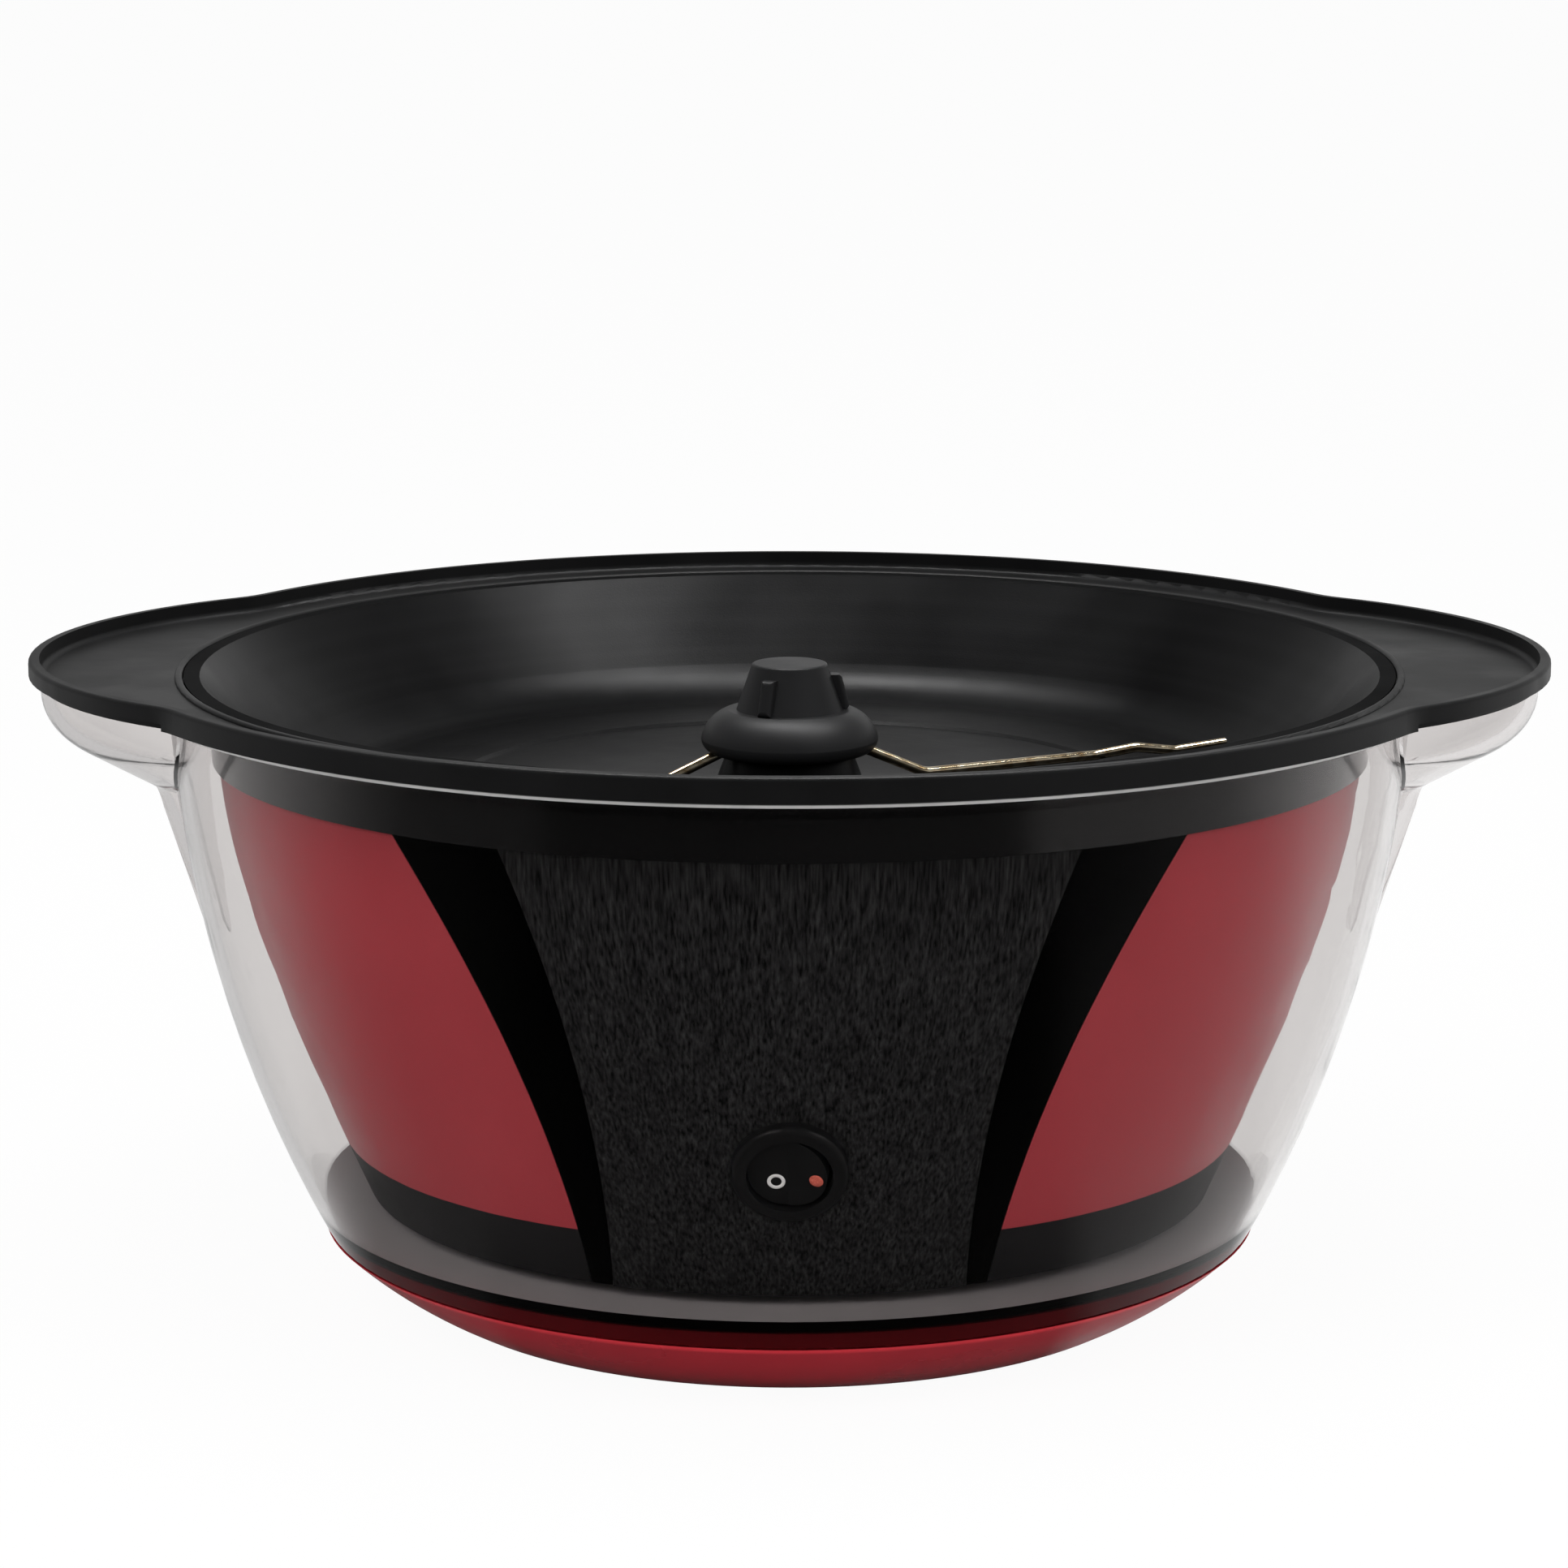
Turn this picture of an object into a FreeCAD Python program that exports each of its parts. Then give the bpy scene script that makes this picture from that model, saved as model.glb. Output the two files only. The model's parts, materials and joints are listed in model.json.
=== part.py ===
"""A stirring popcorn popper, stowed: the heating base nests in its upturned clear serving bowl.

Millimetres, +Z up, origin on the table under the middle of the cap. The switch faces -Y, the ears point along X.
"""
import FreeCAD, Part
import math
import os

V = FreeCAD.Vector

# Fits
SLIDE_GAP = 0.3
PANEL_GAP = 0.1
SHAFT_GAP = 0.05
SEAT_GAP = 0.02

# Snap cap
CAP_HEIGHT = 15.3
CAP_BASE_R = 85.3
CAP_OVERHANG = 0.3
CAP_BULGE = 0.9
CAP_WALL = 2.6
CAP_SPIGOT_RISE = 3.4
CAP_SPIGOT_WALL = 2.0

# Clear serving bowl
BOWL_FOOT_R = 106.0
BOWL_RIM_R = 138.6
BOWL_HEIGHT = 124.6
BOWL_WALL = 2.5
BOWL_WELL_DEPTH = 4.4
BOWL_COLLAR = 9.8
BOWL_BELLY_IN = 1.5
BOWL_BELLY_UP = 58.3
BOWL_LIP_OUT = 8.4
BOWL_LIP_THICK = 1.6
VENT_R = 2.2
INNER_VENT_COUNT = 8
INNER_VENT_RING_R = 18.0
OUTER_VENT_COUNT = 16
OUTER_VENT_RING_R = 36.0

# Scoop handles under the ears
SCOOP_R = 44.0
SCOOP_INSET = 1.9
SCOOP_SIDE = 4.5
SCOOP_TURN_IN = 8.7
SCOOP_TURN_DOWN = 13.2
SCOOP_RUN = 15.5
SCOOP_FALL = 8.9
SCOOP_CURL_IN = 2.3
SCOOP_CURL_DOWN = 5.6
SCOOP_WEB_IN = 8.4
SCOOP_WEB_DOWN = 26.9
SCOOP_FOOT_IN = 5.0
SCOOP_FOOT_DOWN = 6.0

# Top rim with tray ears
FLANGE_OVERHANG = 11.9
EAR_R = 91.5
EAR_SET_IN = 60.1
EAR_BLEND_R = 22.0
EAR_REBATE = 2.2
EAR_REBATE_RISE = 1.5
EAR_REBATE_START = 52.5
RIM_HEIGHT = 5.1
RIM_RECESS = 3.8
RIM_BORDER = 2.4
RIM_ROUND = 0.9
RIM_COVE = 1.2
RIM_COLLAR_DROP = 2.4
RIM_COLLAR_GAP = 0.5
BEAD_RISE = 0.8
BEAD_WIDTH = 1.7
BEAD_IN = 1.4
LEDGE_DROP = 1.0
LEDGE_WIDTH = 2.2

# Popping pan
PAN_DEPTH = 28.2
PAN_WALL_RUN = 23.0
PAN_WALL = 1.6
PAN_LIP_THICK = 1.4
PAN_LIP_WIDTH = 3.5
PAN_CORNER_R = 20.0
PAN_STEP_IN = 33.0
PAN_STEP_RISE = 0.6
PAN_BOSS_LOW_R = 17.0
PAN_BOSS_TOP_R = 14.4
PAN_BOSS_RISE = 7.0
PAN_TUBE_R = 9.5
PAN_TUBE_DROP = 13.4

# Neck band, side shell, skirt and panel
BAND_HEIGHT = 13.8
BAND_CLEAR = 9.1
BAND_OVERHANG = 1.5
BAND_SPIGOT = 5.0
BASE_DEPTH = 113.1
SHELL_EASE_IN = 1.5
SHELL_EASE_DOWN = 28.7
BASE_CLEAR = 9.6
BASE_EASE_OUT = 13.6
BASE_EASE_UP = 31.6
SHELL_WALL = 2.2
SKIRT_HEIGHT = 13.0
SKIRT_WALL = 2.6
SKIRT_SPIGOT_RISE = 4.6
SKIRT_SPIGOT_WALL = 1.8
SKIRT_LEDGE_R = 82.0
SKIRT_LEDGE_THICK = 2.4
PANEL_TOP_HALF = 58.6
PANEL_MID_HALF = 42.8
PANEL_LOW_HALF = 37.0
PANEL_PROUD = 0.5
PANEL_WALL = 2.0
TRIM_TOP_HALF = 81.0
TRIM_MID_HALF = 55.3
TRIM_LOW_HALF = 41.5
TRIM_WALL = 2.1

# Bottom cover, tie posts and feet
COVER_R = 92.0
COVER_THICK = 2.4
POST_R = 4.6
POST_BORE_R = 2.0
POST_RING_R = 74.0
POST_COUNT = 4
TIE_SCREW_R = 1.7
TIE_HEAD_R = 3.5
TIE_HEAD_THICK = 2.0
TIE_GRIP = 6.5
COVER_SLOTS = 24
COVER_SLOT_IN = 34.0
COVER_SLOT_OUT = 58.0
COVER_SLOT_WIDTH = 3.2
FOOT_R = 5.0
FOOT_STEM_R = 2.0
FOOT_RING_R = 88.5
FOOT_ANGLE = 40.0

# Heating parts under the pan
SHIELD_DROP = 9.4
SHIELD_R = 92.0
SHEET = 1.2
SHIELD_HOLE_R = 12.0
ELEMENT_RING_R = 56.0
ELEMENT_R = 3.2
ELEMENT_GAP_ANGLE = 50.0
ELEMENT_BEND = 9.0
ELEMENT_LEG = 14.0
ELEMENT_HOLE_R = 6.0
CLAMP_COUNT = 3
CLAMP_WIDTH = 9.0
CLAMP_IN_R = 50.0
CLAMP_OUT_R = 73.0
CLAMP_BOSS_R = 3.0
CLAMP_SCREW_R = 1.25
CLAMP_HEAD_R = 2.6
CLAMP_HEAD_THICK = 1.2
THERMOSTAT_R = 8.5
THERMOSTAT_OFFSET = 34.0
FUSE_R = 2.2
FUSE_LENGTH = 16.0
FUSE_OFFSET = 32.0
FUSE_STRAP = 1.0

# Drive
SHAFT_R = 3.5
SHAFT_FLAT = 2.6
THREAD_R = 2.5
THREAD_LENGTH = 6.0
BUSHING_R = 6.0
SEAL_HEIGHT = 2.5
MODULE = 0.8
PINION_TEETH = 12
WHEEL_TEETH = 48
ADDENDUM = 0.72
DEDENDUM = 1.15
ROOT_SHARE = 0.29
TIP_SHARE = 0.10
IDLER_ANGLE = 90.0
ROTOR_ANGLE = -30.0
TIER_GAP = 2.0
WHEEL_WIDTH = 6.0
STANDOFF = 4.8
STANDOFF_R = 3.4
CASE_WALL = 2.0
CASE_ROOM = 2.2
GEARBOX_SCREW_R = 1.25
MOTOR_R = 24.0
MOTOR_HEIGHT = 26.0
MOTOR_WALL = 1.0
MOTOR_LUG_R = 4.0
COIL_INNER_R = 12.2
ROTOR_R = 11.0
ROTOR_SHAFT_R = 1.5
AXLE_R = 2.0

# Stir rod and knob
HUB_LOW_R = 16.2
HUB_WIDE_R = 20.0
HUB_TOP_R = 13.9
HUB_HEIGHT = 9.6
HUB_WIDE_RISE = 3.1
HUB_CLEAR = 0.6
ARM_R = 1.15
ARM_BEND = 5.0
ARM_FLOOR_GAP = 0.5
ARM_START_R = 9.0
ARM_START_RISE = 3.6
ARM_KNEE_R = 30.7
ARM_KNEE_BEARING = 3.2
ARM_LEFT_KNEE_BEARING = 20.0
ARM_BEARING = 17.3
ARM_TIP_GAP = 2.4
ARM_TIP_RISE = 1.2
ARM_DIP_BACK = 12.6
ARM_CREST_BACK = 22.2
ARM_ELBOW_BACK = 32.4
ARM_CREST_RISE = 1.3
KNOB_HEIGHT = 10.5
KNOB_LOW_R = 12.0
KNOB_TOP_R = 8.4
KNOB_WINGS = 3
KNOB_WING_ANGLE = 3.5
KNOB_WING_R = 13.8
KNOB_WING_TOP_R = 11.6
KNOB_WING_WIDTH = 3.2
KNOB_WING_DROP = 2.6

# Rocker switch in the panel
SWITCH_Z = 55.6
SWITCH_BEZEL_R = 12.0
SWITCH_BEZEL_RISE = 2.6
SWITCH_BODY_R = 10.3
SWITCH_BODY_DEPTH = 16.0
SWITCH_WELL_R = 8.9
SWITCH_WELL_DEPTH = 5.8
ROCKER_R = 8.2
ROCKER_EDGE = 2.0
ROCKER_DIP = 1.1
ROCKER_PIVOT = 1.5
ROCKER_PIN_R = 0.9
ROCKER_PIN_REACH = 9.7
ROCKER_REST_TILT = 8.0
BLADE_WIDTH = 4.8
BLADE_THICK = 0.8
BLADE_LENGTH = 8.0
BLADE_SPACING = 8.0

# Mains inlet at the back
INLET_Z = 50.0
INLET_HALF_WIDTH = 17.0
INLET_HALF_HEIGHT = 12.0
INLET_WALL = 3.0
INLET_DEPTH = 26.0
INLET_FLOOR = 8.0
INLET_PIN_R = 2.0
INLET_PIN_SPACING = 13.0
INLET_PIN_LENGTH = 14.0

# Leads inside the base
LEAD_R = 1.1
LEAD_BEND = 5.0
LEAD_REACH = 13.0
LIVE_TURNS = ((-40.0, 36.0, 40.0), (-40.0, -36.0, 44.0))
NEUTRAL_TURNS = ((-28.0, 42.0, 58.0), (-30.0, -36.0, 66.0))

# Heights above the table that follow from the sizes
Z_FOOT = CAP_HEIGHT
Z_WELL = Z_FOOT + BOWL_WELL_DEPTH
Z_BOWL_FLOOR = Z_WELL + BOWL_WALL
Z_RIM = Z_FOOT + BOWL_HEIGHT
Z_SEAT = Z_RIM - RIM_COLLAR_DROP
Z_EAR = Z_RIM + EAR_REBATE_RISE
Z_TOP = Z_RIM + RIM_HEIGHT
Z_FIELD = Z_TOP - RIM_RECESS
Z_BEAD = Z_FIELD + BEAD_RISE
Z_LEDGE = Z_FIELD - LEDGE_DROP
Z_PAN = Z_BEAD - PAN_DEPTH
Z_PAN_UNDER = Z_PAN - PAN_WALL
Z_BAND = Z_SEAT - BAND_HEIGHT
Z_BASE = Z_SEAT - BASE_DEPTH
Z_SKIRT = Z_BASE + SKIRT_HEIGHT
Z_COVER = Z_BASE + SKIRT_LEDGE_THICK
Z_COVER_TOP = Z_COVER + COVER_THICK
Z_BOSS = Z_PAN + PAN_BOSS_RISE
Z_TUBE = Z_PAN_UNDER - PAN_TUBE_DROP
Z_SHIELD_TOP = Z_PAN_UNDER - SHIELD_DROP
Z_SHIELD = Z_SHIELD_TOP - SHEET
Z_LID_TOP = Z_SHIELD - STANDOFF
Z_LID = Z_LID_TOP - CASE_WALL
Z_OUTPUT_TOP = Z_LID - TIER_GAP
Z_OUTPUT = Z_OUTPUT_TOP - WHEEL_WIDTH
Z_IDLER_TOP = Z_OUTPUT - TIER_GAP
Z_IDLER = Z_IDLER_TOP - WHEEL_WIDTH
Z_CASE_FLOOR = Z_IDLER - TIER_GAP
Z_CASE = Z_CASE_FLOOR - CASE_WALL
Z_MOTOR = Z_CASE - MOTOR_HEIGHT
Z_HUB = Z_BOSS + HUB_CLEAR
Z_HUB_TOP = Z_HUB + HUB_HEIGHT
Z_KNOB_TOP = Z_HUB_TOP + KNOB_HEIGHT
Z_ELEMENT = Z_PAN_UNDER - ELEMENT_R - SHAFT_GAP
Z_STRAP_TOP = Z_ELEMENT - ELEMENT_R - SHAFT_GAP
Z_STRAP = Z_STRAP_TOP - SHEET
Z_ARM = Z_PAN + PAN_STEP_RISE + ARM_FLOOR_GAP + ARM_R

# Radii that follow from the sizes
CAP_RIM_R = BOWL_FOOT_R + CAP_OVERHANG
FLANGE_R = BOWL_RIM_R + FLANGE_OVERHANG
EAR_OFFSET = BOWL_RIM_R - EAR_SET_IN
BEAD_R = BOWL_RIM_R - BEAD_IN
RIM_COLLAR_R = BOWL_RIM_R - BOWL_WALL - RIM_COLLAR_GAP
BAND_R = BOWL_RIM_R - BAND_CLEAR
SHELL_TOP_R = BAND_R - BAND_OVERHANG
BASE_R = BOWL_FOOT_R - BASE_CLEAR
LIP_R = BEAD_R - BEAD_WIDTH - SLIDE_GAP
LEDGE_R = BEAD_R - BEAD_WIDTH - LEDGE_WIDTH
PAN_TOP_R = LIP_R - PAN_LIP_WIDTH
PAN_FLOOR_R = PAN_TOP_R - PAN_WALL_RUN
PAN_STEP_R = PAN_FLOOR_R - PAN_STEP_IN
ARM_TIP_R = PAN_FLOOR_R - ARM_TIP_GAP
CLAMP_BOSS_RING_R = (ELEMENT_RING_R + ELEMENT_R + CLAMP_OUT_R) / 2
CENTRES = MODULE * (PINION_TEETH + WHEEL_TEETH) / 2
WHEEL_TIP_R = MODULE * WHEEL_TEETH / 2 + ADDENDUM * MODULE
PINION_TIP_R = MODULE * PINION_TEETH / 2 + ADDENDUM * MODULE


def polar(radius, degrees, height=0.0):
    """A point from its distance and bearing about the middle axis."""
    angle = math.radians(degrees)
    return V(radius * math.cos(angle), radius * math.sin(angle), height)


IDLER = polar(CENTRES, IDLER_ANGLE)
ROTOR = IDLER + polar(CENTRES, ROTOR_ANGLE)


def cylinder(radius, low, high, at=None):
    """An upright cylinder between two heights."""
    place = at if at is not None else V(0, 0, 0)
    return Part.makeCylinder(radius, high - low, V(place.x, place.y, low))


def ring(inner, outer, low, high, at=None):
    """An upright tube between two heights."""
    return cylinder(outer, low, high, at).cut(cylinder(inner, low - 1, high + 1, at))


def box(x0, x1, y0, y1, z0, z1):
    """A block between its limits."""
    return Part.makeBox(x1 - x0, y1 - y0, z1 - z0, V(x0, y0, z0))


def outline(points):
    """A closed face in the XZ plane from (x, z) corners."""
    corners = [V(x, 0, z) for x, z in points]
    return Part.Face(Part.makePolygon(corners + corners[:1]))


def edge_face(edges):
    """A face from edges that close a loop."""
    return Part.Face(Part.Wire(Part.__sortEdges__(edges)))


def turned(face, centre_x=0.0):
    """A face of the XZ plane turned about an upright axis."""
    return face.revolve(V(centre_x, 0, 0), V(0, 0, 1), 360)


def joined(first, *others):
    """Solids fused into one, with the seams taken out."""
    return first.fuse(list(others)).removeSplitter()


def around(shape, count, start=0.0):
    """Copies of a shape spaced evenly about the middle axis."""
    copies = []
    for index in range(count):
        copy = shape.copy()
        copy.rotate(V(0, 0, 0), V(0, 0, 1), start + 360.0 * index / count)
        copies.append(copy)
    return copies


def line(a, b):
    """A straight edge in the XZ plane between (x, z) points."""
    return Part.makeLine(V(a[0], 0, a[1]), V(b[0], 0, b[1]))


def arc(a, middle, b):
    """A round edge in the XZ plane through three (x, z) points."""
    return Part.Arc(V(a[0], 0, a[1]), V(middle[0], 0, middle[1]), V(b[0], 0, b[1])).toShape()


def rounded_path(points, bend):
    """Straight runs through the points, with every corner rounded to one bend radius."""
    edges = []
    start = points[0]
    for before, corner, after in zip(points, points[1:], points[2:]):
        back = (before - corner).normalize()
        ahead = (after - corner).normalize()
        half = back.getAngle(ahead) / 2
        reach = bend / math.tan(half)
        enter = corner + back * reach
        leave = corner + ahead * reach
        middle = corner + (back + ahead).normalize() * (bend / math.sin(half) - bend)
        edges.append(Part.makeLine(start, enter))
        edges.append(Part.Arc(enter, middle, leave).toShape())
        start = leave
    edges.append(Part.makeLine(start, points[-1]))
    return Part.Wire(edges)


def swept(path, radius):
    """A round bar along a path."""
    first = path.OrderedEdges[0]
    at = first.valueAt(first.FirstParameter)
    facing = first.tangentAt(first.FirstParameter)
    profile = Part.Wire(Part.makeCircle(radius, at, facing))
    return path.makePipeShell([profile], True, False)


def tube(points, bend, radius):
    """A round bar along straight runs with rounded corners."""
    return swept(rounded_path(points, bend), radius)


def screw(at, up, shank_r, length, head_r, head_thick):
    """A pan-head screw: `at` is the seat under its head, `up` the way the shank points."""
    shank = Part.makeCylinder(shank_r, length, at, up)
    head = Part.makeCylinder(head_r, head_thick, at, up * -1)
    return joined(shank, head)


def rim_outline(inset):
    """The outline of the flange and its two ears, as a flat face at height 0, drawn in by an inset."""
    flange = FLANGE_R - inset
    ear = EAR_R - inset
    blend = EAR_BLEND_R + inset
    reach_flange = FLANGE_R + EAR_BLEND_R
    reach_ear = EAR_R + EAR_BLEND_R
    x = (reach_flange ** 2 - reach_ear ** 2 + EAR_OFFSET ** 2) / (2 * EAR_OFFSET)
    y = math.sqrt(reach_flange ** 2 - x ** 2)
    on_flange = V(x, y, 0) * (flange / reach_flange)
    on_ear = V(EAR_OFFSET, 0, 0) + V(x - EAR_OFFSET, y, 0) * (ear / reach_ear)
    toward = V(EAR_OFFSET - x, -y, 0).normalize() + V(-x, -y, 0).normalize()
    on_blend = V(x, y, 0) + toward.normalize() * blend

    def flipped(point, sx, sy):
        return V(point.x * sx, point.y * sy, 0)

    edges = []
    for sx in (1, -1):
        tip = V(sx * (EAR_OFFSET + ear), 0, 0)
        edges.append(Part.Arc(flipped(on_ear, sx, 1), tip, flipped(on_ear, sx, -1)).toShape())
        for sy in (1, -1):
            start = flipped(on_flange, sx, sy)
            edges.append(Part.Arc(start, flipped(on_blend, sx, sy), flipped(on_ear, sx, sy)).toShape())
    for sy in (1, -1):
        start = flipped(on_flange, 1, sy)
        edges.append(Part.Arc(start, V(0, sy * flange, 0), flipped(on_flange, -1, sy)).toShape())
    return edge_face(edges)


def slab(face, low, high):
    """A flat face at height 0 raised between two heights."""
    lifted = face.copy()
    lifted.translate(V(0, 0, low))
    return lifted.extrude(V(0, 0, high - low))


def bowl_edge(inset):
    """The bowl's wall from rim to foot, as a curve drawn in by an inset."""
    curve = Part.BezierCurve()
    curve.setPoles([
        V(BOWL_RIM_R - inset, 0, Z_RIM),
        V(BOWL_RIM_R - inset, 0, Z_RIM - BOWL_COLLAR),
        V(BOWL_RIM_R - BOWL_BELLY_IN - inset, 0, Z_FOOT + BOWL_BELLY_UP),
        V(BOWL_FOOT_R - inset, 0, Z_FOOT),
    ])
    return curve.toShape()


def bowl_core(inset, low):
    """The full round form inside the bowl's wall, above a height."""
    wall = bowl_edge(inset)
    top = line((BOWL_RIM_R - inset, Z_RIM), (0, Z_RIM))
    axis = line((0, Z_RIM), (0, Z_FOOT))
    foot = line((0, Z_FOOT), (BOWL_FOOT_R - inset, Z_FOOT))
    whole = turned(edge_face([wall, top, axis, foot]))
    if low > Z_FOOT:
        whole = whole.cut(cylinder(BOWL_RIM_R, Z_FOOT - 1, low))
    return whole


def bowl_form():
    """The bowl's full outer form: its round wall and the lip turned out round the top."""
    return bowl_core(0, Z_FOOT).fuse(cylinder(BOWL_RIM_R + BOWL_LIP_OUT, Z_RIM - BOWL_LIP_THICK, Z_RIM))


def serving_bowl():
    """The clear cover, upturned: round wall, turned-out lip and a recessed floor with vents."""
    bowl = bowl_form().cut(bowl_core(BOWL_WALL, Z_BOWL_FLOOR))
    well_r = BOWL_FOOT_R - BOWL_WALL
    bowl = bowl.cut(cylinder(well_r, Z_FOOT - 1, Z_WELL))
    rings = ((INNER_VENT_COUNT, INNER_VENT_RING_R), (OUTER_VENT_COUNT, OUTER_VENT_RING_R))
    for count, radius in rings:
        vent = cylinder(VENT_R, Z_WELL - 1, Z_BOWL_FLOOR + 1, V(radius, 0, 0))
        bowl = bowl.cut(around(vent, count))
    return bowl.removeSplitter()


def bent(start, pole, end):
    """A smooth bend in the XZ plane between two points, pulled towards a third."""
    curve = Part.BezierCurve()
    curve.setPoles([V(x, 0, z) for x, z in (start, pole, end)])
    return curve.toShape()


def scoop(inset):
    """A handle's full form, turned about its own axis: upright side, sloping underside, web to the wall."""
    slope = math.atan2(SCOOP_FALL, SCOOP_RUN)
    web = math.atan2(SCOOP_WEB_IN, SCOOP_WEB_DOWN)
    over = (inset * math.sin(slope), inset * math.cos(slope))
    back = (inset * math.cos(web), inset * math.sin(web))
    reach = SCOOP_R
    side = (reach - inset, Z_EAR - SCOOP_SIDE)
    turn = (reach - SCOOP_TURN_IN - over[0], Z_EAR - SCOOP_SIDE - SCOOP_TURN_DOWN + over[1])
    pole = (reach - inset, turn[1] + (reach - inset - turn[0]) * math.tan(slope))
    knee = (turn[0] - SCOOP_RUN, turn[1] - SCOOP_FALL)
    web_top = (reach - SCOOP_TURN_IN - SCOOP_RUN - SCOOP_CURL_IN - back[0],
               Z_EAR - SCOOP_SIDE - SCOOP_TURN_DOWN - SCOOP_FALL - SCOOP_CURL_DOWN + back[1])
    web_end = (web_top[0] - SCOOP_WEB_IN, web_top[1] - SCOOP_WEB_DOWN)
    web_foot = (web_end[0] - SCOOP_FOOT_IN, web_end[1] - SCOOP_FOOT_DOWN)
    gap = knee[0] - web_top[0]
    corner = (knee[0] - gap / 2, knee[1] - gap / 2 * math.tan(slope))
    return turned(edge_face([
        line((0, Z_EAR), (side[0], Z_EAR)),
        line((side[0], Z_EAR), side),
        bent(side, pole, turn),
        line(turn, knee),
        bent(knee, corner, web_top),
        line(web_top, web_end),
        line(web_end, web_foot),
        line(web_foot, (0, web_foot[1])),
        line((0, web_foot[1]), (0, Z_EAR)),
    ]))


def handle_block(side, inset):
    """The handle's form in its place under one ear."""
    form = scoop(inset)
    form.translate(V(side * (EAR_OFFSET + EAR_R - SCOOP_INSET - SCOOP_R), 0, 0))
    return form


def bowl_handle(side):
    """A clear scoop handle under one ear: a hollow shell that stands on the bowl's wall and lip."""
    shell = handle_block(side, 0).cut(handle_block(side, BOWL_WALL)).cut(bowl_form())
    plate = slab(rim_outline(EAR_REBATE - SLIDE_GAP), Z_RIM, Z_TOP)
    border = slab(rim_outline(0), Z_RIM, Z_TOP).cut(ear_zone(-SLIDE_GAP))
    return shell.cut(plate).cut(border).removeSplitter()


def bowl_cap():
    """The red snap cap: a shallow dish with a ring that plugs into the bowl's recess."""
    slope = (CAP_RIM_R - CAP_BASE_R) / CAP_HEIGHT
    lean = CAP_WALL * math.sqrt(1 + slope ** 2)
    inner_low = CAP_BASE_R + slope * CAP_WALL - lean
    inner_top = CAP_RIM_R - lean
    length = math.hypot(CAP_RIM_R - CAP_BASE_R, CAP_HEIGHT)
    out = (CAP_BULGE * CAP_HEIGHT / length, -CAP_BULGE * (CAP_RIM_R - CAP_BASE_R) / length)
    side = ((CAP_BASE_R + CAP_RIM_R) / 2 + out[0], CAP_HEIGHT / 2 + out[1])
    dish = turned(edge_face([
        line((0, 0), (CAP_BASE_R, 0)),
        arc((CAP_BASE_R, 0), side, (CAP_RIM_R, CAP_HEIGHT)),
        line((CAP_RIM_R, CAP_HEIGHT), (inner_top, CAP_HEIGHT)),
        line((inner_top, CAP_HEIGHT), (inner_low, CAP_WALL)),
        line((inner_low, CAP_WALL), (0, CAP_WALL)),
        line((0, CAP_WALL), (0, 0)),
    ]))
    plug_r = BOWL_FOOT_R - BOWL_WALL - SLIDE_GAP
    start = CAP_HEIGHT - 1.2
    plug = ring(plug_r - CAP_SPIGOT_WALL, plug_r, start, CAP_HEIGHT + CAP_SPIGOT_RISE)
    return joined(dish, plug)


def ear_zone(gap):
    """Two blocks over the outer parts of the ears, where the handles' tops let into the rim."""
    start = EAR_OFFSET + EAR_REBATE_START - gap
    right = box(start, 2 * FLANGE_R, -FLANGE_R, FLANGE_R, 0, 2 * Z_TOP)
    left = box(-2 * FLANGE_R, -start, -FLANGE_R, FLANGE_R, 0, 2 * Z_TOP)
    return Part.makeCompound([right, left])


def top_rim():
    """The black rim: flange and tray ears with a raised border, and the bead and ledge that hold the pan."""
    plate = slab(rim_outline(0), Z_RIM, Z_TOP)
    upper = [e for e in plate.Edges if e.BoundBox.ZMin > Z_TOP - 0.01]
    plate = plate.makeFillet(RIM_ROUND, upper)
    tray = slab(rim_outline(RIM_BORDER), Z_FIELD, Z_TOP + 1)
    lower = [e for e in tray.Edges if e.BoundBox.ZMax < Z_FIELD + 0.01]
    tray = tray.makeFillet(RIM_COVE, lower)
    edge = slab(rim_outline(0), Z_RIM - 1, Z_EAR).cut(slab(rim_outline(EAR_REBATE), Z_RIM - 2, Z_EAR + 1))
    plate = plate.cut(tray).cut(edge.common(ear_zone(0)))
    bead = ring(BEAD_R - BEAD_WIDTH, BEAD_R, Z_FIELD - 0.5, Z_BEAD)
    top = [e for e in bead.Edges if e.BoundBox.ZMin > Z_BEAD - 0.01]
    bead = bead.makeFillet(BEAD_WIDTH * 0.4, top)
    collar = cylinder(RIM_COLLAR_R, Z_SEAT, Z_RIM + 0.5)
    mouth = cylinder(BEAD_R - BEAD_WIDTH, Z_LEDGE, Z_TOP + 1)
    hole = cylinder(LEDGE_R, Z_SEAT - 1, Z_TOP + 1)
    return plate.fuse(collar).cut(mouth).cut(hole).fuse(bead).removeSplitter()


def pan_slope():
    """The pan wall's run from floor to lip, as its angle in radians."""
    return math.atan2(Z_LEDGE + PAN_LIP_THICK - Z_PAN, PAN_TOP_R - PAN_FLOOR_R)


def pan_boss(radius, ring_r, degrees, low):
    """A boss under the pan floor, reaching down to a height."""
    return cylinder(radius, low, Z_PAN_UNDER + PAN_WALL / 2, polar(ring_r, degrees))


def post_angles():
    """Bearings of the tie posts."""
    return [45.0 + 360.0 * index / POST_COUNT for index in range(POST_COUNT)]


def clamp_angles():
    """Bearings of the element clamps, clear of the element's open front."""
    return [90.0 + 360.0 * index / CLAMP_COUNT for index in range(CLAMP_COUNT)]


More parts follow.
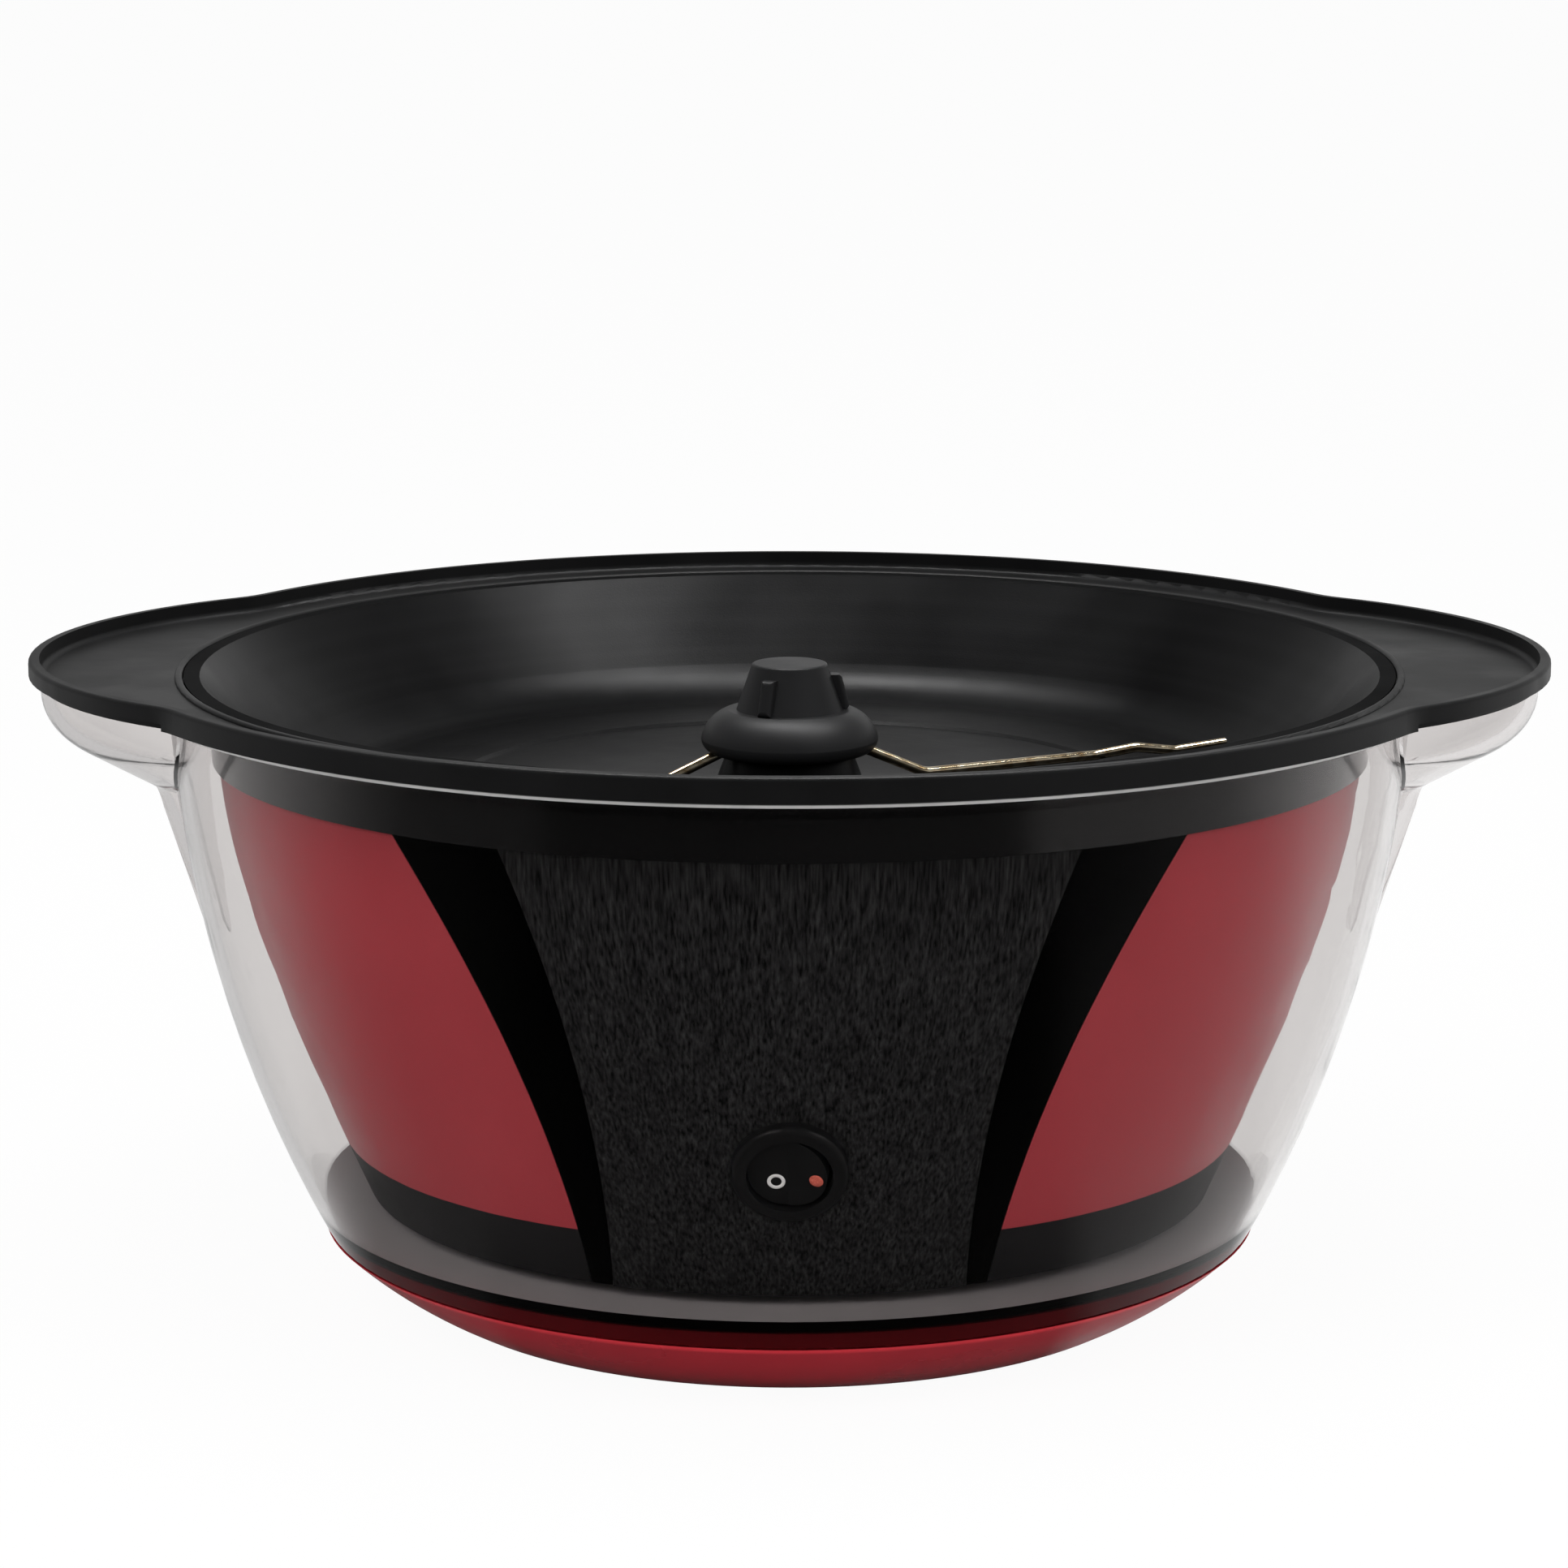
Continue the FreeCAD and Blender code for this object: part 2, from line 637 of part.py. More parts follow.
def popping_pan():
    """The non-stick pan: flat lip, sloping wall, stepped floor and a middle boss for the stirring shaft."""
    slope = pan_slope()
    lip_top = Z_LEDGE + PAN_LIP_THICK
    across = PAN_WALL / math.sin(slope)
    wall_out = PAN_TOP_R + across - PAN_LIP_THICK / math.tan(slope)
    corner = PAN_CORNER_R * math.tan(slope / 2)
    on_floor = (PAN_FLOOR_R - corner, Z_PAN + PAN_STEP_RISE)
    on_wall = (PAN_FLOOR_R + corner * math.cos(slope), Z_PAN + PAN_STEP_RISE + corner * math.sin(slope))
    middle = (on_floor[0] + PAN_CORNER_R * math.sin(slope / 2),
              on_floor[1] + PAN_CORNER_R * (1 - math.cos(slope / 2)))
    under_r = PAN_FLOOR_R + PAN_WALL * math.tan(slope / 2)
    under_round = PAN_CORNER_R + PAN_WALL
    sweep = under_round * math.tan(slope / 2)
    under_start = (under_r - sweep, Z_PAN_UNDER)
    under_end = (under_r + sweep * math.cos(slope), Z_PAN_UNDER + sweep * math.sin(slope))
    under_middle = (under_start[0] + under_round * math.sin(slope / 2),
                    Z_PAN_UNDER + under_round * (1 - math.cos(slope / 2)))
    edges = [
        line((0, Z_PAN), (PAN_STEP_R, Z_PAN)),
        line((PAN_STEP_R, Z_PAN), (PAN_STEP_R + PAN_STEP_RISE * 2, Z_PAN + PAN_STEP_RISE)),
        line((PAN_STEP_R + PAN_STEP_RISE * 2, Z_PAN + PAN_STEP_RISE), on_floor),
        arc(on_floor, middle, on_wall),
        line(on_wall, (PAN_TOP_R, lip_top)),
        line((PAN_TOP_R, lip_top), (LIP_R, lip_top)),
        line((LIP_R, lip_top), (LIP_R, Z_LEDGE)),
        line((LIP_R, Z_LEDGE), (wall_out, Z_LEDGE)),
        line((wall_out, Z_LEDGE), under_end),
        arc(under_end, under_middle, under_start),
        line(under_start, (0, Z_PAN_UNDER)),
        line((0, Z_PAN_UNDER), (0, Z_PAN)),
    ]
    pan = turned(edge_face(edges))
    boss = turned(outline([
        (0, Z_PAN_UNDER), (PAN_BOSS_LOW_R, Z_PAN), (PAN_BOSS_TOP_R, Z_BOSS), (0, Z_BOSS),
    ]))
    added = [boss, cylinder(PAN_TUBE_R, Z_TUBE, Z_PAN)]
    holes = [cylinder(BUSHING_R + SEAT_GAP, Z_TUBE - 1, Z_BOSS + 1)]
    for degrees in post_angles():
        added.append(pan_boss(POST_R, POST_RING_R, degrees, Z_SHIELD_TOP))
        hole_top = Z_SHIELD_TOP + TIE_GRIP + 0.5
        holes.append(cylinder(TIE_SCREW_R + SHAFT_GAP, Z_SHIELD_TOP - 1, hole_top, polar(POST_RING_R, degrees)))
    for degrees in clamp_angles():
        added.append(pan_boss(CLAMP_BOSS_R, CLAMP_BOSS_RING_R, degrees, Z_STRAP_TOP))
        at = polar(CLAMP_BOSS_RING_R, degrees)
        holes.append(cylinder(CLAMP_SCREW_R + SHAFT_GAP, Z_STRAP_TOP - 1, Z_PAN_UNDER, at))
    return joined(pan, *added).cut(holes).removeSplitter()


def neck_band():
    """The black band under the rim: it carries the rim and plugs into the top of the side shell."""
    spigot_out = SHELL_TOP_R - SHELL_WALL - 0.6
    spigot_in = spigot_out - 2.0
    rise = Z_SEAT - Z_BAND
    shoulder = LEDGE_R - 1.0
    return turned(outline([
        (spigot_in, Z_BAND - BAND_SPIGOT),
        (spigot_out, Z_BAND - BAND_SPIGOT),
        (spigot_out, Z_BAND),
        (BAND_R, Z_BAND),
        (BAND_R, Z_BAND + rise * 0.64),
        (BAND_R + 3.0, Z_SEAT - 2.0),
        (RIM_COLLAR_R, Z_SEAT - 2.0),
        (RIM_COLLAR_R, Z_SEAT),
        (shoulder, Z_SEAT),
        (spigot_in, Z_SEAT - (shoulder - spigot_in)),
    ]))


def casing_edge(inset):
    """The casing's outer curve from the neck band to the table side, drawn in by an inset."""
    curve = Part.BezierCurve()
    curve.setPoles([
        V(SHELL_TOP_R - inset, 0, Z_BAND),
        V(SHELL_TOP_R - SHELL_EASE_IN - inset, 0, Z_BAND - SHELL_EASE_DOWN),
        V(BASE_R + BASE_EASE_OUT - inset, 0, Z_BASE + BASE_EASE_UP),
        V(BASE_R - inset, 0, Z_BASE),
    ])
    return curve


def casing(inset, wall, low=None, high=None):
    """A layer of the casing, from an inset under its outer curve, between two heights."""
    low = Z_BASE if low is None else low
    high = Z_BAND if high is None else high
    outer = casing_edge(inset).toShape()
    inner = casing_edge(inset + wall).toShape()
    top = line((SHELL_TOP_R - inset, Z_BAND), (SHELL_TOP_R - inset - wall, Z_BAND))
    foot = line((BASE_R - inset, Z_BASE), (BASE_R - inset - wall, Z_BASE))
    layer = turned(edge_face([outer, top, inner, foot]))
    if low > Z_BASE or high < Z_BAND:
        layer = layer.common(cylinder(SHELL_TOP_R + 5, low, high))
    return layer


def casing_core(inset):
    """The full round form under the casing's outer curve."""
    outer = casing_edge(inset).toShape()
    top = line((SHELL_TOP_R - inset, Z_BAND), (0, Z_BAND))
    axis = line((0, Z_BAND), (0, Z_BASE))
    foot = line((0, Z_BASE), (BASE_R - inset, Z_BASE))
    return turned(edge_face([outer, top, axis, foot]))


def casing_at(height):
    """The casing's outer radius and its lean, in degrees from upright, at a height."""
    curve = casing_edge(0)
    low, high = 0.0, 1.0
    for _ in range(40):
        middle = (low + high) / 2
        if curve.value(middle).z > height:
            low = middle
        else:
            high = middle
    tangent = curve.tangent(low)[0]
    return curve.value(low).x, math.degrees(math.atan2(-tangent.x, -tangent.z))


def front_window(top_half, mid_half, low_half):
    """A block through the front of the casing, with curved sides set by three half widths."""
    middle = (Z_BAND + Z_BASE) / 2
    sides = [arc((s * top_half, Z_BAND), (s * mid_half, middle), (s * low_half, Z_BASE)) for s in (1, -1)]
    top = line((-top_half, Z_BAND), (top_half, Z_BAND))
    foot = line((-low_half, Z_BASE), (low_half, Z_BASE))
    return edge_face([sides[0], top, sides[1], foot]).extrude(V(0, -2 * FLANGE_R, 0))


def panel_window(gap):
    """The control panel's outline, drawn in by a gap."""
    return front_window(PANEL_TOP_HALF - gap, PANEL_MID_HALF - gap, PANEL_LOW_HALF - gap)


def trim_window(gap):
    """The outline round both trims and the panel, drawn in by a gap."""
    return front_window(TRIM_TOP_HALF - gap, TRIM_MID_HALF - gap, TRIM_LOW_HALF - gap)


def switch_place():
    """The switch's own frame on the panel: z out of the panel, x to the right, y up its slope."""
    radius, lean = casing_at(SWITCH_Z)
    at = V(0, -(radius + PANEL_PROUD), SWITCH_Z)
    return FreeCAD.Placement(at, FreeCAD.Rotation(V(1, 0, 0), 90 + lean))


def on_switch(shape):
    """A shape made in the switch's own frame, put in its place."""
    placed = shape.copy()
    placed.Placement = switch_place().multiply(placed.Placement)
    return placed


def inlet_block(grow, reach):
    """A block through the back of the casing at the inlet."""
    half_width = INLET_HALF_WIDTH + grow
    half_height = INLET_HALF_HEIGHT + grow
    radius = casing_at(INLET_Z)[0]
    return box(-half_width, half_width, radius - INLET_DEPTH, radius + reach,
               INLET_Z - half_height, INLET_Z + half_height)


def side_shell():
    """The red shell round the sides and back, open at the front for the panel and at the back for the inlet."""
    shell = casing(0, SHELL_WALL, low=Z_SKIRT)
    return shell.cut(trim_window(0)).cut(inlet_block(PANEL_GAP, SHELL_TOP_R)).removeSplitter()


def base_skirt():
    """The black skirt under the shell, with a ring inside the shell and a ledge for the bottom cover."""
    wall = casing(0, SKIRT_WALL, high=Z_SKIRT).cut(trim_window(0))
    liner_inset = SHELL_WALL + PANEL_GAP
    liner = casing(liner_inset, SKIRT_SPIGOT_WALL, low=Z_BASE, high=Z_SKIRT + SKIRT_SPIGOT_RISE)
    ledge = ring(SKIRT_LEDGE_R, BASE_R - SHELL_WALL - 0.5, Z_BASE, Z_COVER)
    skirt = liner.fuse(ledge).fuse(wall)
    skirt = skirt.cut(inlet_block(PANEL_GAP, SHELL_TOP_R))
    for degrees in foot_angles():
        skirt = skirt.cut(cylinder(FOOT_STEM_R + SHAFT_GAP, Z_BASE - 1, Z_COVER + 1, polar(FOOT_RING_R, degrees)))
    for degrees in post_angles():
        skirt = skirt.cut(cylinder(TIE_HEAD_R + SLIDE_GAP, Z_BASE - 1, Z_COVER + 1, polar(POST_RING_R, degrees)))
    return skirt.removeSplitter()


def control_panel():
    """The brushed front panel, standing a little proud, with a round hole for the switch."""
    panel = casing(-PANEL_PROUD, PANEL_WALL).common(panel_window(PANEL_GAP))
    panel = panel.common(cylinder(FLANGE_R, Z_BASE, Z_BAND - PANEL_GAP))
    hole = on_switch(Part.makeCylinder(SWITCH_BODY_R + PANEL_GAP, 20, V(0, 0, -10)))
    return panel.cut(hole).removeSplitter()


def panel_trims():
    """The gloss strips that flank the panel, as (left, right)."""
    strips = casing(0, TRIM_WALL).common(trim_window(PANEL_GAP)).cut(panel_window(0))
    strips = strips.common(cylinder(FLANGE_R, Z_BASE, Z_BAND - PANEL_GAP))
    left, right = sorted(strips.Solids, key=lambda solid: solid.CenterOfMass.x)
    return left, right


def foot_angles():
    """Bearings of the four feet: front left, front right, back left, back right."""
    return (180 + FOOT_ANGLE, 360 - FOOT_ANGLE, 180 - FOOT_ANGLE, FOOT_ANGLE)


def foot(degrees):
    """A rubber foot: a pad that stands on the bowl's floor and a stem in the skirt's ledge."""
    at = polar(FOOT_RING_R, degrees)
    pad = cylinder(FOOT_R, Z_BOWL_FLOOR + SLIDE_GAP, Z_BASE, at)
    lower = [e for e in pad.Edges if e.BoundBox.ZMax < Z_BOWL_FLOOR + SLIDE_GAP + 0.01]
    pad = pad.makeFillet(0.6, lower)
    stem = cylinder(FOOT_STEM_R, Z_BASE - 0.5, Z_COVER, at)
    return joined(pad, stem)


def bottom_cover():
    """The slotted bottom plate, with a tall hollow post under each pan boss."""
    plate = cylinder(COVER_R, Z_COVER, Z_COVER_TOP)
    half = COVER_SLOT_WIDTH / 2
    slot = box(COVER_SLOT_IN, COVER_SLOT_OUT, -half, half, Z_COVER - 1, Z_COVER_TOP + 1)
    for end in (COVER_SLOT_IN, COVER_SLOT_OUT):
        slot = slot.fuse(cylinder(half, Z_COVER - 1, Z_COVER_TOP + 1, V(end, 0, 0)))
    plate = plate.cut(around(slot.removeSplitter(), COVER_SLOTS))
    posts = []
    bores = []
    for degrees in post_angles():
        at = polar(POST_RING_R, degrees)
        posts.append(cylinder(POST_R, Z_COVER, Z_SHIELD, at))
        bores.append(cylinder(POST_BORE_R, Z_COVER - 1, Z_SHIELD + 1, at))
    return joined(plate, *posts).cut(bores).removeSplitter()


def tie_screws():
    """The long screws that pull the pan, rim, band, shell, skirt and cover together."""
    length = Z_SHIELD_TOP + TIE_GRIP - Z_COVER
    screws = []
    for degrees in post_angles():
        seat = polar(POST_RING_R, degrees, Z_COVER)
        screws.append(screw(seat, V(0, 0, 1), TIE_SCREW_R, length, TIE_HEAD_R, TIE_HEAD_THICK))
    return Part.makeCompound(screws)


def element_ends():
    """Bearings where the heating ring turns down, either side of the front."""
    return -90 + ELEMENT_GAP_ANGLE / 2, 270 - ELEMENT_GAP_ANGLE / 2


def element_legs():
    """Where the heating ring's two legs come down."""
    first, last = element_ends()
    legs = []
    for degrees, way in ((first, -1), (last, 1)):
        legs.append(polar(ELEMENT_RING_R, degrees) + polar(ELEMENT_BEND, degrees + way * 90))
    return legs


def heating_element():
    """The sheathed heating ring under the pan, open at the front where both ends turn down."""
    first, last = element_ends()
    z = Z_ELEMENT
    turn = ELEMENT_BEND * math.sqrt(0.5)
    drop = ELEMENT_BEND - turn
    span = last - first
    path = []
    for degrees, way in ((first, -1), (last, 1)):
        ring_end = polar(ELEMENT_RING_R, degrees, z)
        half = ring_end + polar(turn, degrees + way * 90) - V(0, 0, drop)
        down = ring_end + polar(ELEMENT_BEND, degrees + way * 90) - V(0, 0, ELEMENT_BEND)
        bend = Part.Arc(ring_end, half, down).toShape()
        leg = Part.makeLine(down, down - V(0, 0, ELEMENT_LEG))
        path.append((leg, bend))
    arcs = []
    for part in range(3):
        a = first + span * part / 3
        points = [polar(ELEMENT_RING_R, a + span * step / 6, z) for step in range(3)]
        arcs.append(Part.Arc(*points).toShape())
    edges = [path[0][0], path[0][1]] + arcs + [path[1][1], path[1][0]]
    wire = Part.Wire(Part.__sortEdges__(edges))
    return swept(wire, ELEMENT_R)


def element_clamps():
    """Three straps that hold the heating ring up against the pan."""
    half = CLAMP_WIDTH / 2
    strap = box(CLAMP_IN_R, CLAMP_OUT_R, -half, half, Z_STRAP, Z_STRAP_TOP)
    hole = cylinder(CLAMP_SCREW_R + SHAFT_GAP, Z_STRAP - 1, Z_STRAP_TOP + 1, V(CLAMP_BOSS_RING_R, 0, 0))
    upright = [e for e in strap.Edges if e.BoundBox.ZLength > SHEET / 2]
    strap = strap.makeFillet(2.0, upright).cut(hole)
    return Part.makeCompound(around(strap, CLAMP_COUNT, clamp_angles()[0]))


def clamp_screws():
    """The screws through the clamp straps into the pan's bosses."""
    length = Z_PAN_UNDER - Z_STRAP - 1.0
    seat = V(CLAMP_BOSS_RING_R, 0, Z_STRAP)
    one = screw(seat, V(0, 0, 1), CLAMP_SCREW_R, length, CLAMP_HEAD_R, CLAMP_HEAD_THICK)
    return Part.makeCompound(around(one, CLAMP_COUNT, clamp_angles()[0]))


def standoff_places():
    """Where the gearbox hangs from the heat shield."""
    side = WHEEL_TIP_R - 1.0
    return V(side, IDLER.y / 2, 0), V(-side, IDLER.y / 2, 0), V(0, -side, 0)


def heat_shield():
    """The sheet plate between the hot pan and the drive, clamped between pan bosses and tie posts."""
    shield = cylinder(SHIELD_R, Z_SHIELD, Z_SHIELD_TOP)
    lip = ring(SHIELD_R - SHEET, SHIELD_R, Z_SHIELD, Z_SHIELD_TOP + 3.0)
    low, high = Z_SHIELD - 1, Z_SHIELD_TOP + 1
    holes = [cylinder(SHIELD_HOLE_R, low, high)]
    for degrees in post_angles():
        holes.append(cylinder(POST_BORE_R, low, high, polar(POST_RING_R, degrees)))
    for leg in element_legs():
        holes.append(cylinder(ELEMENT_HOLE_R, low, high, leg))
    for at in standoff_places():
        holes.append(cylinder(GEARBOX_SCREW_R + SHAFT_GAP, low, high, at))
    return joined(shield, lip).cut(holes)


def thermostat():
    """The disc thermostat pressed up under the pan, standing on the heat shield."""
    at = V(0, -THERMOSTAT_OFFSET, 0)
    waist = Z_SHIELD_TOP + SHIELD_DROP * 0.55
    disc = cylinder(THERMOSTAT_R, waist, Z_PAN_UNDER - SHAFT_GAP, at)
    body = cylinder(THERMOSTAT_R - 1.5, Z_SHIELD_TOP, waist + 0.5, at)
    return joined(disc, body)


def thermal_fuse():
    """The one-shot fuse, strapped down on the heat shield."""
    at = V(-FUSE_OFFSET, -FUSE_LENGTH / 2, Z_SHIELD_TOP + FUSE_R + SHAFT_GAP)
    barrel = Part.makeCylinder(FUSE_R, FUSE_LENGTH, at, V(0, 1, 0))
    half = 3.0
    reach = FUSE_R + FUSE_STRAP
    outer = Part.makeCylinder(reach, half * 2, V(at.x, -half, at.z), V(0, 1, 0))
    outer = outer.common(box(at.x - reach, at.x + reach, -half, half, Z_SHIELD_TOP, at.z + reach))
    block = box(at.x - reach, at.x + reach, -half, half, Z_SHIELD_TOP, at.z)
    return joined(barrel, outer, block)


def shaft_bushing():
    """The plain bearing in the pan's middle tube."""
    return ring(SHAFT_R + SHAFT_GAP, BUSHING_R, Z_TUBE, Z_BOSS - SEAL_HEIGHT)


def shaft_seal():
    """The rubber seal over the bearing that keeps oil out of the base."""
    return ring(SHAFT_R + SHAFT_GAP, BUSHING_R, Z_BOSS - SEAL_HEIGHT, Z_BOSS)


def drive_flats(grow, low, high):
    """The shaft's two-flat driving end."""
    across = SHAFT_FLAT + grow
    post = cylinder(SHAFT_R + grow, low, high)
    return post.common(box(-10, 10, -across, across, low, high))


def drive_shaft():
    """The stirring shaft from the gearbox floor to the knob's thread."""
    plain = cylinder(SHAFT_R, Z_CASE + 0.4, Z_HUB)
    flats = drive_flats(0, Z_HUB, Z_HUB_TOP - 0.3)
    thread = cylinder(THREAD_R, Z_HUB, Z_HUB_TOP + THREAD_LENGTH)
    return joined(plain, flats, thread)


def gear(teeth, low, high, at, turn):
    """A straight-flanked spur gear. `turn` is the bearing of one tooth, in degrees."""
    pitch_r = MODULE * teeth / 2
    tip = pitch_r + ADDENDUM * MODULE
    root = pitch_r - DEDENDUM * MODULE
    step = 360.0 / teeth
    corners = []
    for index in range(teeth):
        middle = turn + index * step
        for radius, share in ((root, -ROOT_SHARE), (tip, -TIP_SHARE), (tip, TIP_SHARE), (root, ROOT_SHARE)):
            corners.append(V(at.x, at.y, low) + polar(radius, middle + share * step))
    face = Part.Face(Part.makePolygon(corners + corners[:1]))
    return face.extrude(V(0, 0, high - low))


def output_gear():
    """The wheel on the stirring shaft."""
    wheel = gear(WHEEL_TEETH, Z_OUTPUT, Z_OUTPUT_TOP, V(0, 0, 0), IDLER_ANGLE)
    return wheel.cut(cylinder(SHAFT_R + SEAT_GAP, Z_OUTPUT - 1, Z_OUTPUT_TOP + 1))


def idler_gear():
    """The wheel and pinion that step the motor down, turning on a fixed axle."""
    wheel = gear(WHEEL_TEETH, Z_IDLER, Z_IDLER_TOP, IDLER, ROTOR_ANGLE)
    pinion_turn = IDLER_ANGLE + 180 + 180.0 / PINION_TEETH
    pinion = gear(PINION_TEETH, Z_IDLER_TOP - 0.5, Z_OUTPUT_TOP, IDLER, pinion_turn)
    bore = cylinder(AXLE_R + SHAFT_GAP, Z_IDLER - 1, Z_OUTPUT_TOP + 1, IDLER)
    return wheel.fuse(pinion).cut(bore).removeSplitter()


def idler_axle():
    """The pin that the idler turns on."""
    return cylinder(AXLE_R, Z_CASE, Z_LID_TOP, IDLER)


def gearbox_plan(grow, low, high):
    """A block round both wheels, seen from above as two circles and their tangents."""
    radius = WHEEL_TIP_R + CASE_ROOM + grow
    near = cylinder(radius, low, high)
    far = cylinder(radius, low, high, IDLER)
    bridge = box(-radius, radius, 0, IDLER.y, low, high)
    lobe = cylinder(PINION_TIP_R + CASE_ROOM + grow, low, high, ROTOR)
    return joined(near, far, bridge, lobe)


def gearbox_case():
    """The cup round the gears: it carries the axle, the shaft's foot and the motor."""
    cup = gearbox_plan(CASE_WALL, Z_CASE, Z_LID).cut(gearbox_plan(0, Z_CASE_FLOOR, Z_LID + 1))
    lugs = []
    holes = [
        cylinder(SHAFT_R + SHAFT_GAP, Z_CASE - 1, Z_CASE_FLOOR + 1),
        cylinder(AXLE_R + SEAT_GAP, Z_CASE - 1, Z_CASE_FLOOR + 1, IDLER),
        cylinder(ROTOR_SHAFT_R + SHAFT_GAP, Z_CASE - 1, Z_CASE_FLOOR + 1, ROTOR),
    ]
    for at in motor_lugs():
        lugs.append(cylinder(MOTOR_LUG_R, Z_CASE, Z_CASE + 6, at))
        holes.append(cylinder(GEARBOX_SCREW_R + SHAFT_GAP, Z_CASE - 1, Z_CASE + 5, at))
    deck = cylinder(MOTOR_R, Z_CASE, Z_CASE_FLOOR, ROTOR)
    case = joined(cup, deck, *lugs)
    case = case.cut(gearbox_plan(0, Z_CASE_FLOOR, Z_LID + 1))
    return case.cut(holes).removeSplitter()


def gearbox_lid():
    """The plate over the gears, hung from the heat shield by three standoffs."""
    lid = gearbox_plan(CASE_WALL, Z_LID, Z_LID_TOP)
    posts = [cylinder(STANDOFF_R, Z_LID_TOP - 0.5, Z_SHIELD, at) for at in standoff_places()]
    holes = [
        cylinder(PAN_TUBE_R + SLIDE_GAP, Z_LID - 1, Z_LID_TOP + 1),
        cylinder(AXLE_R + SEAT_GAP, Z_LID - 1, Z_LID_TOP + 1, IDLER),
    ]
    for at in standoff_places():
        holes.append(cylinder(GEARBOX_SCREW_R + SHAFT_GAP, Z_LID - 1, Z_SHIELD + 1, at))
    return joined(lid, *posts).cut(holes).removeSplitter()


def gearbox_screws():
    """The screws from the heat shield down into the gearbox standoffs."""
    screws = []
    for at in standoff_places():
        seat = V(at.x, at.y, Z_SHIELD_TOP)
        screws.append(screw(seat, V(0, 0, -1), GEARBOX_SCREW_R, Z_SHIELD_TOP - Z_LID - 0.5,
                            CLAMP_HEAD_R, CLAMP_HEAD_THICK))
    return Part.makeCompound(screws)


def motor_lugs():
    """Where the motor is screwed to the gearbox, clear of the gears."""
    away = ROTOR - IDLER
    heading = math.degrees(math.atan2(away.y, away.x))
    reach = MOTOR_R + MOTOR_LUG_R - 1.0
    return [ROTOR + polar(reach, heading + turn) for turn in (45, -45)]


def motor_can():
    """The motor's pressed cup, closed below, with two screw lugs at its top."""
    can = ring(MOTOR_R - MOTOR_WALL, MOTOR_R, Z_MOTOR, Z_CASE, ROTOR)
    floor = cylinder(MOTOR_R, Z_MOTOR, Z_MOTOR + MOTOR_WALL, ROTOR)
    boss = cylinder(5.0, Z_MOTOR, Z_MOTOR + 4.0, ROTOR)
    lugs = []
    holes = [cylinder(ROTOR_SHAFT_R + SHAFT_GAP, Z_MOTOR + 1, Z_MOTOR + 5, ROTOR)]
    for at in motor_lugs():
        lugs.append(cylinder(MOTOR_LUG_R, Z_CASE - 1.5, Z_CASE, at))
        holes.append(cylinder(GEARBOX_SCREW_R + SHAFT_GAP, Z_CASE - 3, Z_CASE + 1, at))
    inside = cylinder(MOTOR_R - MOTOR_WALL, Z_MOTOR + 4.0, Z_CASE + 1, ROTOR)
    return joined(can, floor, boss, *lugs).cut(inside).cut(holes).removeSplitter()


def motor_coil():
    """The coil and pole ring inside the motor cup."""
    outer = MOTOR_R - MOTOR_WALL - SHAFT_GAP
    return ring(COIL_INNER_R, outer, Z_MOTOR + MOTOR_WALL, Z_CASE - 4.0, ROTOR)


def motor_rotor():
    """The magnet on its shaft, with the pinion that drives the idler."""
    magnet = cylinder(ROTOR_R, Z_MOTOR + 5.0, Z_CASE - 5.0, ROTOR)
    shaft = cylinder(ROTOR_SHAFT_R, Z_MOTOR + 1.2, Z_IDLER_TOP, ROTOR)
    pinion_turn = ROTOR_ANGLE + 180 + 180.0 / PINION_TEETH
    pinion = gear(PINION_TEETH, Z_IDLER, Z_IDLER_TOP, ROTOR, pinion_turn)
    return joined(magnet, shaft, pinion)


def motor_screws():
    """The screws that hold the motor to the gearbox."""
    screws = []
    for at in motor_lugs():
        seat = V(at.x, at.y, Z_CASE - 1.5)
        screws.append(screw(seat, V(0, 0, 1), GEARBOX_SCREW_R, 6.0, CLAMP_HEAD_R, CLAMP_HEAD_THICK))
    return Part.makeCompound(screws)


def arm_points(side):
    """A stir arm's corners: out of the hub, down to the pan floor, along it, over a hump and to its end."""
    turn = 0.0 if side > 0 else 180.0
    knee = turn + (ARM_KNEE_BEARING if side > 0 else ARM_LEFT_KNEE_BEARING)
    return [
        polar(ARM_START_R, knee, Z_HUB + ARM_START_RISE),
        polar(ARM_KNEE_R, knee, Z_ARM),
        polar(ARM_TIP_R - ARM_ELBOW_BACK, ARM_BEARING + turn, Z_ARM),
        polar(ARM_TIP_R - ARM_CREST_BACK, ARM_BEARING + turn, Z_ARM + ARM_CREST_RISE),
        polar(ARM_TIP_R - ARM_DIP_BACK, ARM_BEARING + turn, Z_ARM),
        polar(ARM_TIP_R, ARM_BEARING + turn, Z_ARM + ARM_TIP_RISE),
    ]


def stir_arm(side, grow=0.0):
    """One wire arm of the stir rod."""
    return tube(arm_points(side), ARM_BEND, ARM_R + grow)


